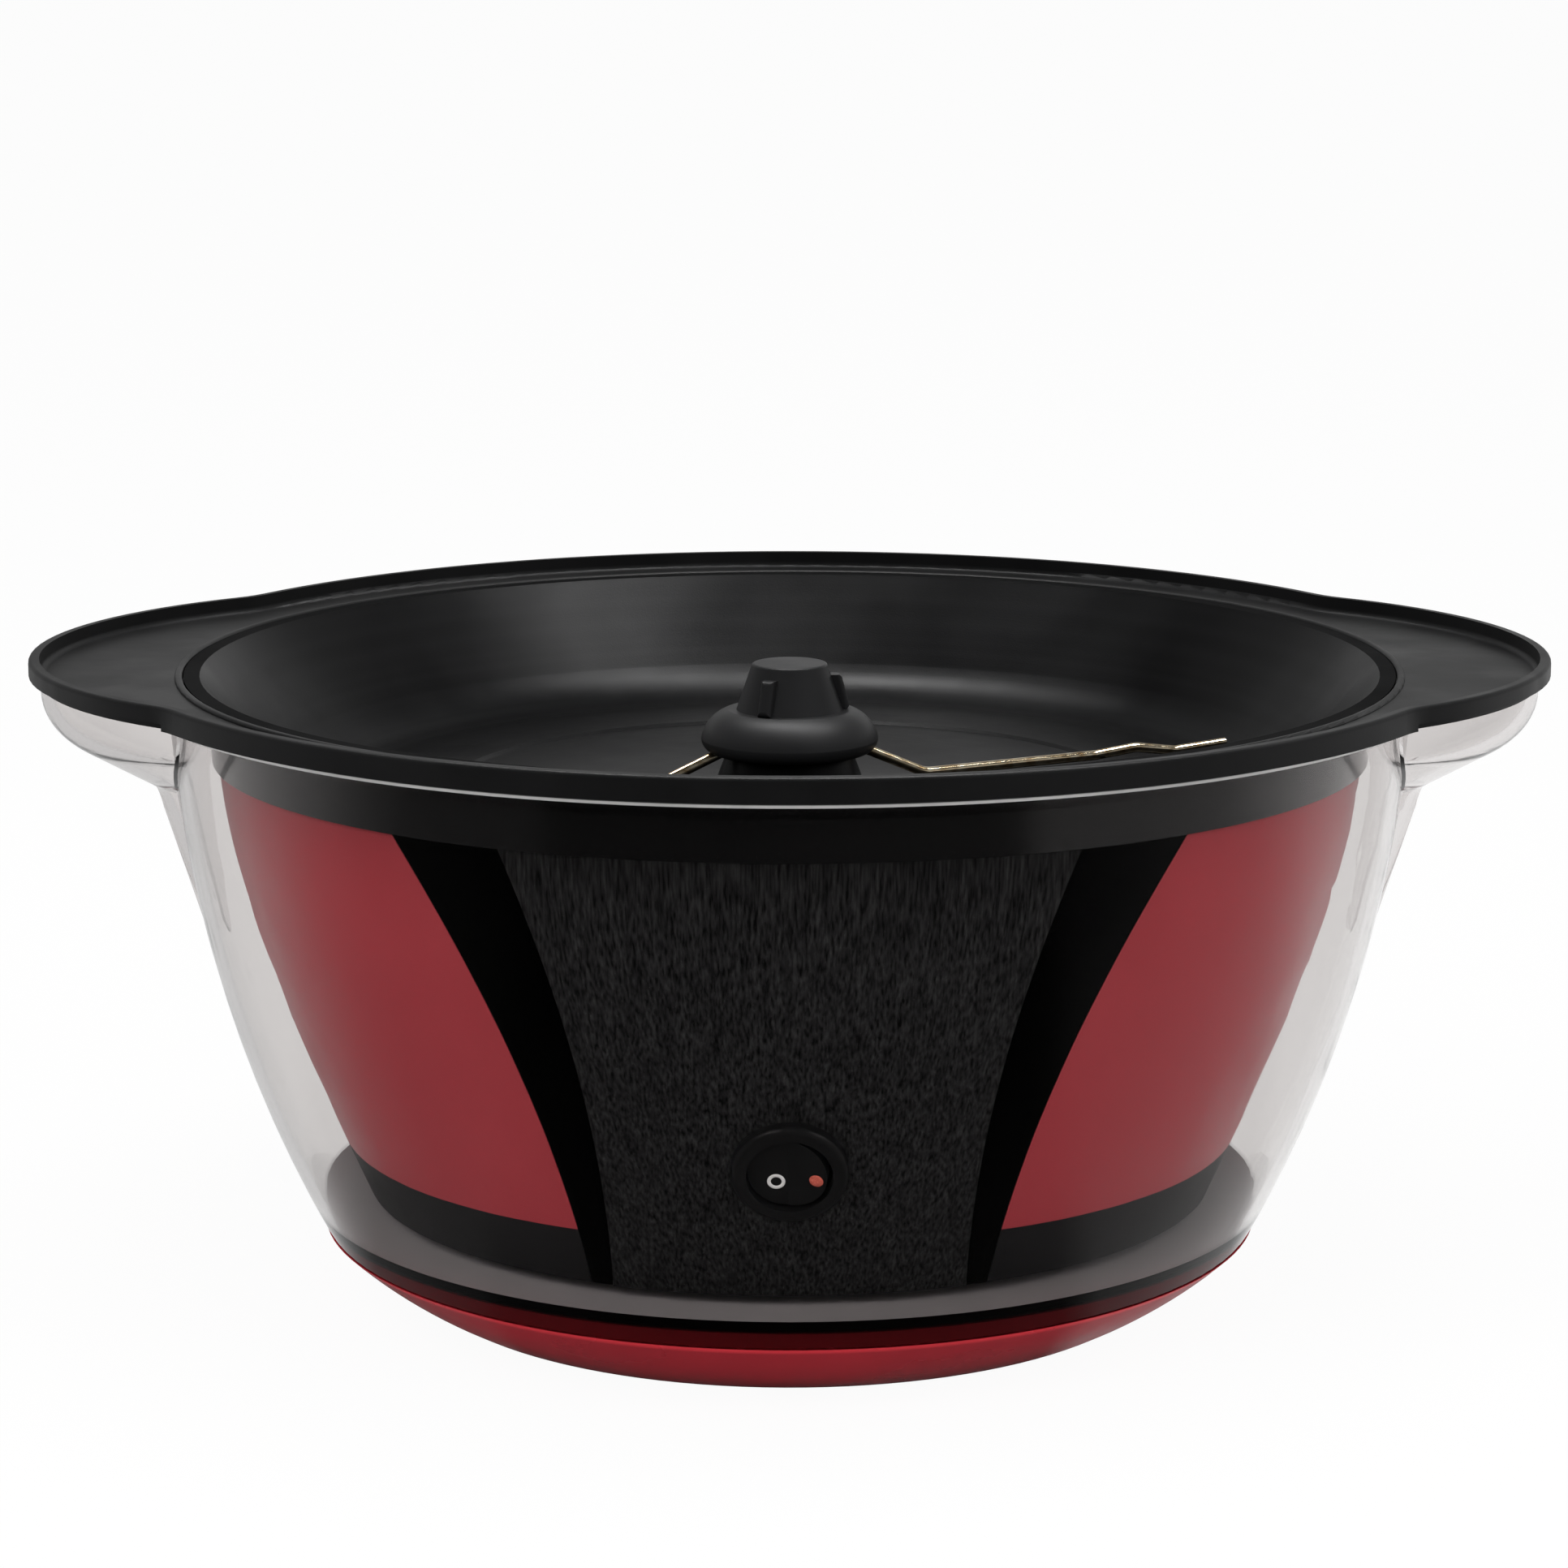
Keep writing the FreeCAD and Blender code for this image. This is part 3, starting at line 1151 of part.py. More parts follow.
def stir_hub():
    """The round hub over the pan's boss: a full, doughnut-like form with a two-flat bore."""
    wide = Z_HUB + HUB_WIDE_RISE
    profile = [
        line((0, Z_HUB), (HUB_LOW_R, Z_HUB)),
        arc((HUB_LOW_R, Z_HUB), (HUB_WIDE_R - 0.9, Z_HUB + 0.9), (HUB_WIDE_R, wide)),
        arc((HUB_WIDE_R, wide), (HUB_WIDE_R - 1.4, Z_HUB_TOP - 3.2), (HUB_TOP_R, Z_HUB_TOP)),
        line((HUB_TOP_R, Z_HUB_TOP), (0, Z_HUB_TOP)),
        line((0, Z_HUB_TOP), (0, Z_HUB)),
    ]
    hub = turned(edge_face(profile))
    bore = drive_flats(SHAFT_GAP, Z_HUB - 1, Z_HUB_TOP + 1)
    arms = [stir_arm(side, SEAT_GAP) for side in (1, -1)]
    return hub.cut(bore).cut(arms)


def stir_knob():
    """The three-winged knob that holds the rod down."""
    wing_top = Z_KNOB_TOP - KNOB_WING_DROP
    cone = turned(outline([
        (0, Z_HUB_TOP), (KNOB_LOW_R, Z_HUB_TOP), (KNOB_TOP_R, Z_KNOB_TOP), (0, Z_KNOB_TOP),
    ]))
    crown = [e for e in cone.Edges if e.BoundBox.ZMin > Z_KNOB_TOP - 0.01 and len(e.Vertexes) == 1]
    cone = cone.makeFillet(0.7, crown)
    limit = turned(outline([
        (0, Z_HUB_TOP), (KNOB_WING_R, Z_HUB_TOP), (KNOB_WING_TOP_R, wing_top), (0, wing_top),
    ]))
    half = KNOB_WING_WIDTH / 2
    wing = box(0, KNOB_WING_R + 1, -half, half, Z_HUB_TOP, wing_top).common(limit)
    outer = [e for e in wing.Edges if e.BoundBox.XMin > KNOB_WING_TOP_R - 1]
    wing = wing.makeFillet(1.1, outer)
    bore = cylinder(THREAD_R + SHAFT_GAP, Z_HUB_TOP - 1, Z_HUB_TOP + THREAD_LENGTH + 0.5)
    return joined(cone, *around(wing, KNOB_WINGS, KNOB_WING_ANGLE)).cut(bore)


def switch_bezel():
    """The raised ring round the rocker, shaped to the panel under it."""
    low = -2.0
    bezel = Part.makeCylinder(SWITCH_BEZEL_R, SWITCH_BEZEL_RISE - low, V(0, 0, low))
    crown = [e for e in bezel.Edges if e.BoundBox.ZMin > SWITCH_BEZEL_RISE - 0.01]
    bezel = bezel.makeFillet(1.4, crown)
    bezel = bezel.cut(Part.makeCylinder(SWITCH_WELL_R, 20, V(0, 0, -10)))
    placed = on_switch(bezel).cut(casing_core(-PANEL_PROUD - SEAT_GAP))
    return placed.cut(on_switch(Part.makeCylinder(SWITCH_BODY_R + SEAT_GAP, 10, V(0, 0, -10))))


def switch_body():
    """The switch's barrel behind the panel, hollow where the rocker tips."""
    barrel = Part.makeCylinder(SWITCH_BODY_R, SWITCH_BODY_DEPTH, V(0, 0, -SWITCH_BODY_DEPTH))
    well = Part.makeCylinder(SWITCH_WELL_R, SWITCH_WELL_DEPTH + 1, V(0, 0, -SWITCH_WELL_DEPTH))
    reach = SWITCH_BODY_R + 1
    pivot = Part.makeCylinder(ROCKER_PIN_R + SHAFT_GAP, 2 * reach, V(0, -reach, -ROCKER_PIVOT), V(0, 1, 0))
    return on_switch(barrel.cut(well).cut(pivot))


def switch_terminals():
    """Two blades at the back of the switch."""
    blades = []
    for side in (-1, 1):
        middle = side * BLADE_SPACING / 2
        blade = box(middle - BLADE_THICK / 2, middle + BLADE_THICK / 2, -BLADE_WIDTH / 2, BLADE_WIDTH / 2,
                    -SWITCH_BODY_DEPTH - BLADE_LENGTH, -SWITCH_BODY_DEPTH)
        blades.append(on_switch(blade))
    return Part.makeCompound(blades)


def rocker():
    """The round rocker, dished across, at rest with its left side pressed in."""
    low = -ROCKER_PIVOT - 2.7
    tent = outline([
        (-ROCKER_R - 1, -0.4), (-ROCKER_R - 1, ROCKER_EDGE + 0.1), (0, ROCKER_DIP),
        (ROCKER_R + 1, ROCKER_EDGE + 0.1), (ROCKER_R + 1, -0.4), (2.0, low), (-2.0, low),
    ])
    tent.translate(V(0, -ROCKER_R - 1, 0))
    tent = tent.extrude(V(0, 2 * ROCKER_R + 2, 0))
    body = tent.common(Part.makeCylinder(ROCKER_R, 20, V(0, 0, -10)))
    pin_length = 2 * ROCKER_PIN_REACH
    pin = Part.makeCylinder(ROCKER_PIN_R, pin_length, V(0, -ROCKER_PIN_REACH, -ROCKER_PIVOT), V(0, 1, 0))
    key = joined(body, pin)
    key.rotate(V(0, 0, -ROCKER_PIVOT), V(0, 1, 0), -ROCKER_REST_TILT)
    return on_switch(key)


def inlet_housing():
    """The mains inlet's open socket, set flush in the back of the shell."""
    radius = casing_at(INLET_Z)[0]
    block = inlet_block(0, 20).common(casing_core(-PANEL_GAP))
    socket = box(-INLET_HALF_WIDTH + INLET_WALL, INLET_HALF_WIDTH - INLET_WALL,
                 radius - INLET_DEPTH + INLET_FLOOR, radius + 20,
                 INLET_Z - INLET_HALF_HEIGHT + INLET_WALL, INLET_Z + INLET_HALF_HEIGHT - INLET_WALL)
    pins = [pin for pin in inlet_pin_solids(SEAT_GAP)]
    return block.cut(socket).cut(pins).removeSplitter()


def inlet_pin_solids(grow):
    """The two round contact pins, as a list."""
    back = casing_at(INLET_Z)[0] - INLET_DEPTH - 6.0
    length = 6.0 + INLET_FLOOR + INLET_PIN_LENGTH
    pins = []
    for side in (-1, 1):
        at = V(side * INLET_PIN_SPACING / 2, back, INLET_Z)
        pins.append(Part.makeCylinder(INLET_PIN_R + grow, length, at, V(0, 1, 0)))
    return pins


def inlet_pins():
    """The inlet's two contact pins."""
    return Part.makeCompound(inlet_pin_solids(0))


def inlet_run(side):
    """The start of a lead behind an inlet pin."""
    back = casing_at(INLET_Z)[0] - INLET_DEPTH - 6.0 - SLIDE_GAP
    x = side * INLET_PIN_SPACING / 2
    return [V(x, back, INLET_Z), V(x, back - LEAD_REACH, INLET_Z)]


def switch_run(side):
    """The end of a lead behind a switch blade."""
    end = -SWITCH_BODY_DEPTH - BLADE_LENGTH - SLIDE_GAP
    x = side * BLADE_SPACING / 2
    place = switch_place()
    return [place.multVec(V(x, 0, end - LEAD_REACH)), place.multVec(V(x, 0, end))]


def element_run(leg):
    """The end of a lead under one leg of the heating ring."""
    top = Z_ELEMENT - ELEMENT_BEND - ELEMENT_LEG - SLIDE_GAP
    return [V(leg.x, leg.y, top - LEAD_REACH), V(leg.x, leg.y, top)]


def leads():
    """The three insulated leads, by name: inlet to switch, switch to heater, heater to inlet."""
    right_leg, left_leg = sorted(element_legs(), key=lambda leg: -leg.x)
    live = inlet_run(-1) + [V(*turn) for turn in LIVE_TURNS] + switch_run(-1)
    switched = switch_run(1)[::-1] + element_run(right_leg)
    neutral = inlet_run(1) + [V(*turn) for turn in NEUTRAL_TURNS] + element_run(left_leg)
    routes = {"lead_live": live, "lead_switched": switched, "lead_neutral": neutral}
    return {name: tube(points, LEAD_BEND, LEAD_R) for name, points in routes.items()}


def build():
    """Every piece by its node name."""
    trim_left, trim_right = panel_trims()
    pieces = {
        "serving_bowl": serving_bowl(),
        "bowl_handle_right": bowl_handle(1),
        "bowl_handle_left": bowl_handle(-1),
        "bowl_cap": bowl_cap(),
        "top_rim": top_rim(),
        "popping_pan": popping_pan(),
        "neck_band": neck_band(),
        "side_shell": side_shell(),
        "base_skirt": base_skirt(),
        "control_panel": control_panel(),
        "panel_trim_left": trim_left,
        "panel_trim_right": trim_right,
        "bottom_cover": bottom_cover(),
        "tie_screws": tie_screws(),
        "heating_element": heating_element(),
        "element_clamps": element_clamps(),
        "clamp_screws": clamp_screws(),
        "heat_shield": heat_shield(),
        "thermostat": thermostat(),
        "thermal_fuse": thermal_fuse(),
        "shaft_bushing": shaft_bushing(),
        "shaft_seal": shaft_seal(),
        "drive_shaft": drive_shaft(),
        "output_gear": output_gear(),
        "idler_gear": idler_gear(),
        "idler_axle": idler_axle(),
        "gearbox_case": gearbox_case(),
        "gearbox_lid": gearbox_lid(),
        "gearbox_screws": gearbox_screws(),
        "motor_can": motor_can(),
        "motor_coil": motor_coil(),
        "motor_rotor": motor_rotor(),
        "motor_screws": motor_screws(),
        "stir_hub": stir_hub(),
        "stir_arm_right": stir_arm(1),
        "stir_arm_left": stir_arm(-1),
        "stir_knob": stir_knob(),
        "switch_bezel": switch_bezel(),
        "switch_body": switch_body(),
        "switch_terminals": switch_terminals(),
        "rocker": rocker(),
        "inlet_housing": inlet_housing(),
        "inlet_pins": inlet_pins(),
    }
    names = ("foot_front_left", "foot_front_right", "foot_back_left", "foot_back_right")
    for name, degrees in zip(names, foot_angles()):
        pieces[name] = foot(degrees)
    pieces.update(leads())
    return pieces


def main():
    """Build every piece and write it to its own file."""
    os.makedirs("parts", exist_ok=True)
    for name, shape in build().items():
        solids = len(shape.Solids)
        print(f"{name}: {solids} solid(s), {shape.Volume / 1000:.2f} cm3, valid {shape.isValid()}")
        shape.exportStep(f"parts/{name}.step")


main()
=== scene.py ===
# %% [markdown]
# A stirring popcorn maker, stowed. The heating base sits inside its own clear bowl, and the bowl stands
# on a red snap cap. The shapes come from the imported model, so this lesson is about finishes, light and
# two printed marks. The model is loaded first, and its box is kept, because nothing made here may stand
# outside it.

# %% Load the frame
import json
import math

import bmesh
import bpy
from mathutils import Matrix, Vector
from mathutils.bvhtree import BVHTree

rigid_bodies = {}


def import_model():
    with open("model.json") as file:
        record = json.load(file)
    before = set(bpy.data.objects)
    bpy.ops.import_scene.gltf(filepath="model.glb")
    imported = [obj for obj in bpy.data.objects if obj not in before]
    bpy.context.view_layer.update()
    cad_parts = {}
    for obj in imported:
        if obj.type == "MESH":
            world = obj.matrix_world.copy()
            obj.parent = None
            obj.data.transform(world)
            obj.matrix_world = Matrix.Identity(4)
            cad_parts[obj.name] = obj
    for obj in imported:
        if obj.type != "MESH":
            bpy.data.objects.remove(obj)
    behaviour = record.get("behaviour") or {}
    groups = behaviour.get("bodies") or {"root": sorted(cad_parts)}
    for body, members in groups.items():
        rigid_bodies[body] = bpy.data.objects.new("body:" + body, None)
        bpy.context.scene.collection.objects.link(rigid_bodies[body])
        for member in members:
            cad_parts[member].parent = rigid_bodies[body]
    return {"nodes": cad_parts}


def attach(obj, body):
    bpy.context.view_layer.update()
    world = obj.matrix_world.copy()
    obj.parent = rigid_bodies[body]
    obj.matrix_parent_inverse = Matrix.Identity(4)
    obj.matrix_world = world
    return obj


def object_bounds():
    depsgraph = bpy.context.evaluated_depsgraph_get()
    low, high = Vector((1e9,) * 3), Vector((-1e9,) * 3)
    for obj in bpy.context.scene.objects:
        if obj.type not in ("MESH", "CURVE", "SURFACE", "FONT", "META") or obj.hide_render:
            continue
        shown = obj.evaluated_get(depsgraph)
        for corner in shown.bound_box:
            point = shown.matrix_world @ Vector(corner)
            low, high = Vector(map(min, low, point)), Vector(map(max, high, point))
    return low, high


for leftover in list(bpy.data.objects):
    bpy.data.objects.remove(leftover)
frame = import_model()
nodes = frame["nodes"]
cad_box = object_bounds()
print("nodes:", len(nodes), "box:", [round(v, 4) for corner in cad_box for v in corner])

# %% [markdown]
# The photograph was taken from a little above the rim with a long lens, so the sides of the bowl look
# nearly parallel. A long lens set far back gives the same picture. The object's middle lies a few pixels
# to the right of the picture's middle, and a small shift of the lens does that without turning the
# camera.

# %% Camera
SENSOR_MM = 36.0
LENS_MM = 101.222
LENS_SHIFT = -0.0036
CAMERA_PLACE = (0.0, -0.97809, 0.30991)
CAMERA_PITCH = math.radians(78.655)

scene = bpy.context.scene
scene.view_settings.view_transform = "Standard"
camera_data = bpy.data.cameras.new("photo_camera")
camera_data.sensor_width = SENSOR_MM
camera_data.lens = LENS_MM
camera_data.shift_x = LENS_SHIFT
camera = bpy.data.objects.new("photo_camera", camera_data)
camera.location = CAMERA_PLACE
camera.rotation_euler = (CAMERA_PITCH, 0.0, 0.0)
scene.collection.objects.link(camera)
scene.camera = camera
print("camera at", [round(v, 3) for v in camera.location], "lens", camera_data.lens)

# %% [markdown]
# World, floor and finishes are all built from shader nodes. These helpers keep the later cells short.
# They join sockets, combine values, stretch a value to another span, mix two shaders, tell one kind of
# ray from another, and say where a point on the object lies. The model's nodes sit at the origin, so
# Object coordinates are metres.

# %% Helpers for node trees
UNIT = (0.0, 1.0)
FALLING = (1.0, 0.0)


def link(tree, source, target):
    """Joins one node's output socket to another node's input socket."""
    tree.links.new(source, target)


def feed(tree, given, target):
    """Gives an input socket its value: an output socket is joined to it, and a number is set on it."""
    if isinstance(given, bpy.types.NodeSocket):
        link(tree, given, target)
    else:
        target.default_value = given


def combine(tree, operation, first, second):
    """One value from two others, each a socket, by an operation of the Math node."""
    node = tree.nodes.new("ShaderNodeMath")
    node.operation = operation
    link(tree, first, node.inputs[0])
    link(tree, second, node.inputs[1])
    return node.outputs[0]


def larger(tree, first, second):
    """The larger of two values, each a socket."""
    return combine(tree, "MAXIMUM", first, second)


def product(tree, first, second):
    """One value times another, each a socket."""
    return combine(tree, "MULTIPLY", first, second)


def vector_math(tree, operation, first, second=(0.0, 0.0, 0.0)):
    """The outputs of a Vector Math node. The second vector is a socket or three numbers."""
    node = tree.nodes.new("ShaderNodeVectorMath")
    node.operation = operation
    link(tree, first, node.inputs[0])
    feed(tree, second, node.inputs[1])
    return node.outputs


def spread(tree, value, span, new_span=UNIT):
    """Stretches a value from one span to another, clamped. An end of a span is a number or a socket."""
    node = tree.nodes.new("ShaderNodeMapRange")
    link(tree, value, node.inputs["Value"])
    for label, end in zip(("From Min", "From Max", "To Min", "To Max"), (*span, *new_span)):
        feed(tree, end, node.inputs[label])
    return node.outputs["Result"]


def mix_shaders(tree, share, first, second):
    """Mixes two shaders. A share of 0 gives the first and a share of 1 the second."""
    node = tree.nodes.new("ShaderNodeMixShader")
    link(tree, share, node.inputs["Fac"])
    link(tree, first, node.inputs[1])
    link(tree, second, node.inputs[2])
    return node.outputs[0]


def direct_ray(tree):
    """1 for a ray from the camera or through clear plastic, and 0 for any other."""
    path = tree.nodes.new("ShaderNodeLightPath")
    return larger(tree, path.outputs["Is Camera Ray"], path.outputs["Is Transmission Ray"])


def mirrored_ray(tree):
    """1 for a ray that a shiny surface has thrown back, and 0 for any other."""
    path = tree.nodes.new("ShaderNodeLightPath")
    return spread(tree, path.outputs["Glossy Depth"], UNIT)


def where(tree):
    """The place of a point on the object, in metres."""
    return tree.nodes.new("ShaderNodeTexCoord").outputs["Object"]


def split(tree, vector):
    """The three shares of a vector, as outputs named X, Y and Z."""
    node = tree.nodes.new("ShaderNodeSeparateXYZ")
    link(tree, vector, node.inputs[0])
    return node.outputs


def height_of(tree):
    """How high a point on the object lies, in metres."""
    return split(tree, where(tree))["Z"]


print("node helpers ready")

# %% [markdown]
# The picture has a white studio round it. The world is plain white to the camera and through clear
# plastic, and softer where it only lights surfaces. Shiny black shows its surroundings, so the world that
# it mirrors is white at the back, pale at the right, dimmer at the left, and dark overhead and towards
# the front, where a studio has no wall. Three large soft lamps light the object: one over the left
# shoulder, one from the right and one above. A fourth, overhead and a little behind, is only mirrored,
# and gives the pan its soft shine while the blacks stay deep.

# %% Studio light
SEEN_WHITE = (1.0, 1.0, 1.0, 1.0)
LIT_WHITE = (1.0, 0.995, 0.99, 1.0)
AMBIENT = 0.5
MIRROR_WHITE = 0.75
MIRROR_DARK = 0.1
MIRROR_LEFT = 0.2
MIRROR_RIGHT = 0.62
BACK_LEFT = 0.95
BACK_RIGHT = 1.3

# Spans of a direction's share to the back, to the right or up, over which one tone passes into another.
FRONT_TO_SIDE = (-0.80, -0.70)
SIDE_TO_BACK = (-0.4, 0.1)
LEFT_TO_RIGHT = (-0.3, 0.3)
BACK_ACROSS = (-0.15, 0.15)
WALL_TO_CEILING = (0.35, 0.75)


def mirrored_round(tree, way):
    """How bright the studio is to a mirror, from a direction's shares to the right and to the back."""
    from_side = spread(tree, way["Y"], FRONT_TO_SIDE)
    side = product(tree, from_side, spread(tree, way["X"], LEFT_TO_RIGHT, (MIRROR_LEFT, MIRROR_RIGHT)))
    from_back = spread(tree, way["Y"], SIDE_TO_BACK, (MIRROR_DARK, MIRROR_WHITE))
    back = product(tree, from_back, spread(tree, way["X"], BACK_ACROSS, (BACK_LEFT, BACK_RIGHT)))
    return larger(tree, side, back)


world = bpy.data.worlds.new("white_studio")
scene.world = world
world.use_nodes = True
world_tree = world.node_tree
world_tree.nodes.clear()
seen_sky = world_tree.nodes.new("ShaderNodeBackground")
seen_sky.inputs["Color"].default_value = SEEN_WHITE
lit_sky = world_tree.nodes.new("ShaderNodeBackground")
lit_sky.inputs["Color"].default_value = LIT_WHITE
lit_sky.inputs["Strength"].default_value = AMBIENT
mirror_sky = world_tree.nodes.new("ShaderNodeBackground")
sky_way = split(world_tree, world_tree.nodes.new("ShaderNodeTexCoord").outputs["Generated"])
sky_low = spread(world_tree, sky_way["Z"], WALL_TO_CEILING, (1.0, MIRROR_DARK))
sky_shade = product(world_tree, mirrored_round(world_tree, sky_way), sky_low)
link(world_tree, sky_shade, mirror_sky.inputs["Strength"])
plain_sky = mix_shaders(world_tree, direct_ray(world_tree), lit_sky.outputs[0], seen_sky.outputs[0])
whole_sky = mix_shaders(world_tree, mirrored_ray(world_tree), plain_sky, mirror_sky.outputs[0])
sky_out = world_tree.nodes.new("ShaderNodeOutputWorld")
link(world_tree, whole_sky, sky_out.inputs["Surface"])

# Each lamp's place, width, depth and power, and whether it is only mirrored.
LAMPS = {
    "key_lamp": ((-0.95, -1.25, 1.35), 1.1, 1.1, 15.0, False),
    "side_lamp": ((1.25, -0.75, 0.95), 0.9, 0.9, 8.0, False),
    "top_lamp": ((0.08, -0.22, 1.5), 1.3, 0.55, 9.0, False),
    "shine_lamp": ((0.1, 0.22, 1.42), 1.3, 0.3, 40.0, True),
}
LAMP_AIM = Vector((0.0, 0.0, 0.09))
for lamp_name, (place, width, depth, power, mirrored) in LAMPS.items():
    lamp_data = bpy.data.lights.new(lamp_name, "AREA")
    lamp_data.shape = "RECTANGLE"
    lamp_data.size = width
    lamp_data.size_y = depth
    lamp_data.energy = power
    lamp = bpy.data.objects.new(lamp_name, lamp_data)
    lamp.location = place
    lamp.visible_glossy = mirrored
    lamp.visible_diffuse = not mirrored
    aim = LAMP_AIM - Vector(place)
    lamp.rotation_euler = aim.to_track_quat("-Z", "Y").to_euler()
    scene.collection.objects.link(lamp)
print("lamps:", ", ".join(LAMPS))

# %% [markdown]
# The floor is a broad pale sheet. It takes the object's soft shadow as any floor does. Most of its own
# white is added only for rays that look straight at it, so the picture's ground stays white as in a
# studio, while the light that it throws back on the object stays that of a plain pale sheet. A mirror
# sees it in the tones of the studio round it.

# %% Floor
FLOOR_HALF = 40.0
FLOOR_GLOW = 0.95
FLOOR_TONE = (0.9, 0.9, 0.9, 1.0)
floor_mesh = bpy.data.meshes.new("floor")
corners = [(-FLOOR_HALF, -FLOOR_HALF, 0), (FLOOR_HALF, -FLOOR_HALF, 0),
           (FLOOR_HALF, FLOOR_HALF, 0), (-FLOOR_HALF, FLOOR_HALF, 0)]
floor_mesh.from_pydata(corners, [], [(0, 1, 2, 3)])
floor = bpy.data.objects.new("floor", floor_mesh)
scene.collection.objects.link(floor)
floor_look = bpy.data.materials.new("pale_floor")
floor_look.use_nodes = True
floor_tree = floor_look.node_tree
floor_tree.nodes.clear()
sheet = floor_tree.nodes.new("ShaderNodeBsdfDiffuse")
sheet.inputs["Color"].default_value = FLOOR_TONE
glow = floor_tree.nodes.new("ShaderNodeEmission")
floor_shown = spread(floor_tree, direct_ray(floor_tree), UNIT, (0.0, FLOOR_GLOW))
floor_mirrored = mirrored_ray(floor_tree)
floor_plain = spread(floor_tree, floor_mirrored, UNIT, FALLING)
floor_way = split(floor_tree, vector_math(floor_tree, "NORMALIZE", where(floor_tree))["Vector"])
floor_round = mirrored_round(floor_tree, floor_way)
link(floor_tree, larger(floor_tree, floor_plain, floor_round), glow.inputs["Strength"])
glow_share = larger(floor_tree, floor_shown, floor_mirrored)
whole_floor = mix_shaders(floor_tree, glow_share, sheet.outputs[0], glow.outputs[0])
floor_out = floor_tree.nodes.new("ShaderNodeOutputMaterial")
link(floor_tree, whole_floor, floor_out.inputs["Surface"])
floor_mesh.materials.append(floor_look)
print("floor:", 2 * FLOOR_HALF, "m across")

# %% [markdown]
# Several finishes share the same small effects, such as the fine grain of a steel mould or the lines that
# a brush leaves. Each effect is a node group, built once and then placed in every finish that needs it. A
# scale of 1000 is one grain to the millimetre.

# %% Helpers for effects
SOCKETS = {"FLOAT": "NodeSocketFloat", "VECTOR": "NodeSocketVector"}
NOISE_MIDDLE = (0.3, 0.7)


def new_effect(name, inputs, outputs):
    """Starts a node group with named inputs, each with its kind and usual value, and named outputs."""
    group = bpy.data.node_groups.new(name, "ShaderNodeTree")
    for label, kind, value in inputs:
        socket = group.interface.new_socket(label, in_out="INPUT", socket_type=SOCKETS[kind])
        socket.default_value = value
    for label in outputs:
        group.interface.new_socket(label, in_out="OUTPUT", socket_type=SOCKETS["FLOAT"])
    return group, group.nodes.new("NodeGroupInput"), group.nodes.new("NodeGroupOutput")


def noise(tree, place, scale, detail, dims="3D"):
    """A noise texture at a place. The scale is a number, or a socket that gives one."""
    texture = tree.nodes.new("ShaderNodeTexNoise")
    texture.noise_dimensions = dims
    texture.inputs["Detail"].default_value = detail
    link(tree, place, texture.inputs["W" if dims == "1D" else "Vector"])
    feed(tree, scale, texture.inputs["Scale"])
    return texture.outputs[0]


print("effect helpers ready")

# %% [markdown]
# Moulded plastic is never quite even. Its skin has a fine grain, and its gloss is a little cloudy where
# the melt cooled at different rates. This effect gives the grain's height, a roughness between two limits
# and the cloud.

# %% Effect: moulded skin
GRAIN_DETAIL = 2.0
CLOUD_SCALE = 38.0
CLOUD_DETAIL = 4.0
CLOUD_GLOSS = (0.35, 0.65)
moulded_skin, skin_in, skin_out = new_effect(
    "moulded_skin",
    [("Grain", "FLOAT", 1500.0), ("Rough Low", "FLOAT", 0.35), ("Rough High", "FLOAT", 0.5)],
    ["Height", "Roughness", "Cloud"],
)
skin_place = where(moulded_skin)
skin_grain = noise(moulded_skin, skin_place, skin_in.outputs["Grain"], GRAIN_DETAIL)
skin_cloud = noise(moulded_skin, skin_place, CLOUD_SCALE, CLOUD_DETAIL)
skin_limits = (skin_in.outputs["Rough Low"], skin_in.outputs["Rough High"])
skin_rough = spread(moulded_skin, skin_cloud, CLOUD_GLOSS, skin_limits)
link(moulded_skin, skin_grain, skin_out.inputs["Height"])
link(moulded_skin, skin_rough, skin_out.inputs["Roughness"])
link(moulded_skin, spread(moulded_skin, skin_cloud, NOISE_MIDDLE), skin_out.inputs["Cloud"])
print("effect:", moulded_skin.name)

# %% [markdown]
# Brushed sheet and drawn wire have long fine lines. Noise that is stretched many times more one way than
# the others gives lines of uneven length and strength, which a regular wave would not.

# %% Effect: brushed lines
STREAK_SCALE = 1.0
STREAK_DETAIL = 3.0
brushed_lines, brush_in, brush_out = new_effect(
    "brushed_lines", [("Stretch", "VECTOR", (2600.0, 2600.0, 90.0))], ["Streak"]
)
brush_place = vector_math(brushed_lines, "MULTIPLY", where(brushed_lines), brush_in.outputs["Stretch"])
brush_noise = noise(brushed_lines, brush_place["Vector"], STREAK_SCALE, STREAK_DETAIL)
link(brushed_lines, spread(brushed_lines, brush_noise, NOISE_MIDDLE), brush_out.inputs["Streak"])
print("effect:", brushed_lines.name)

# %% [markdown]
# The pan is spun from a disc and coated while it turns. Fine rings round the middle axis are noise along
# one number, the distance from that axis.

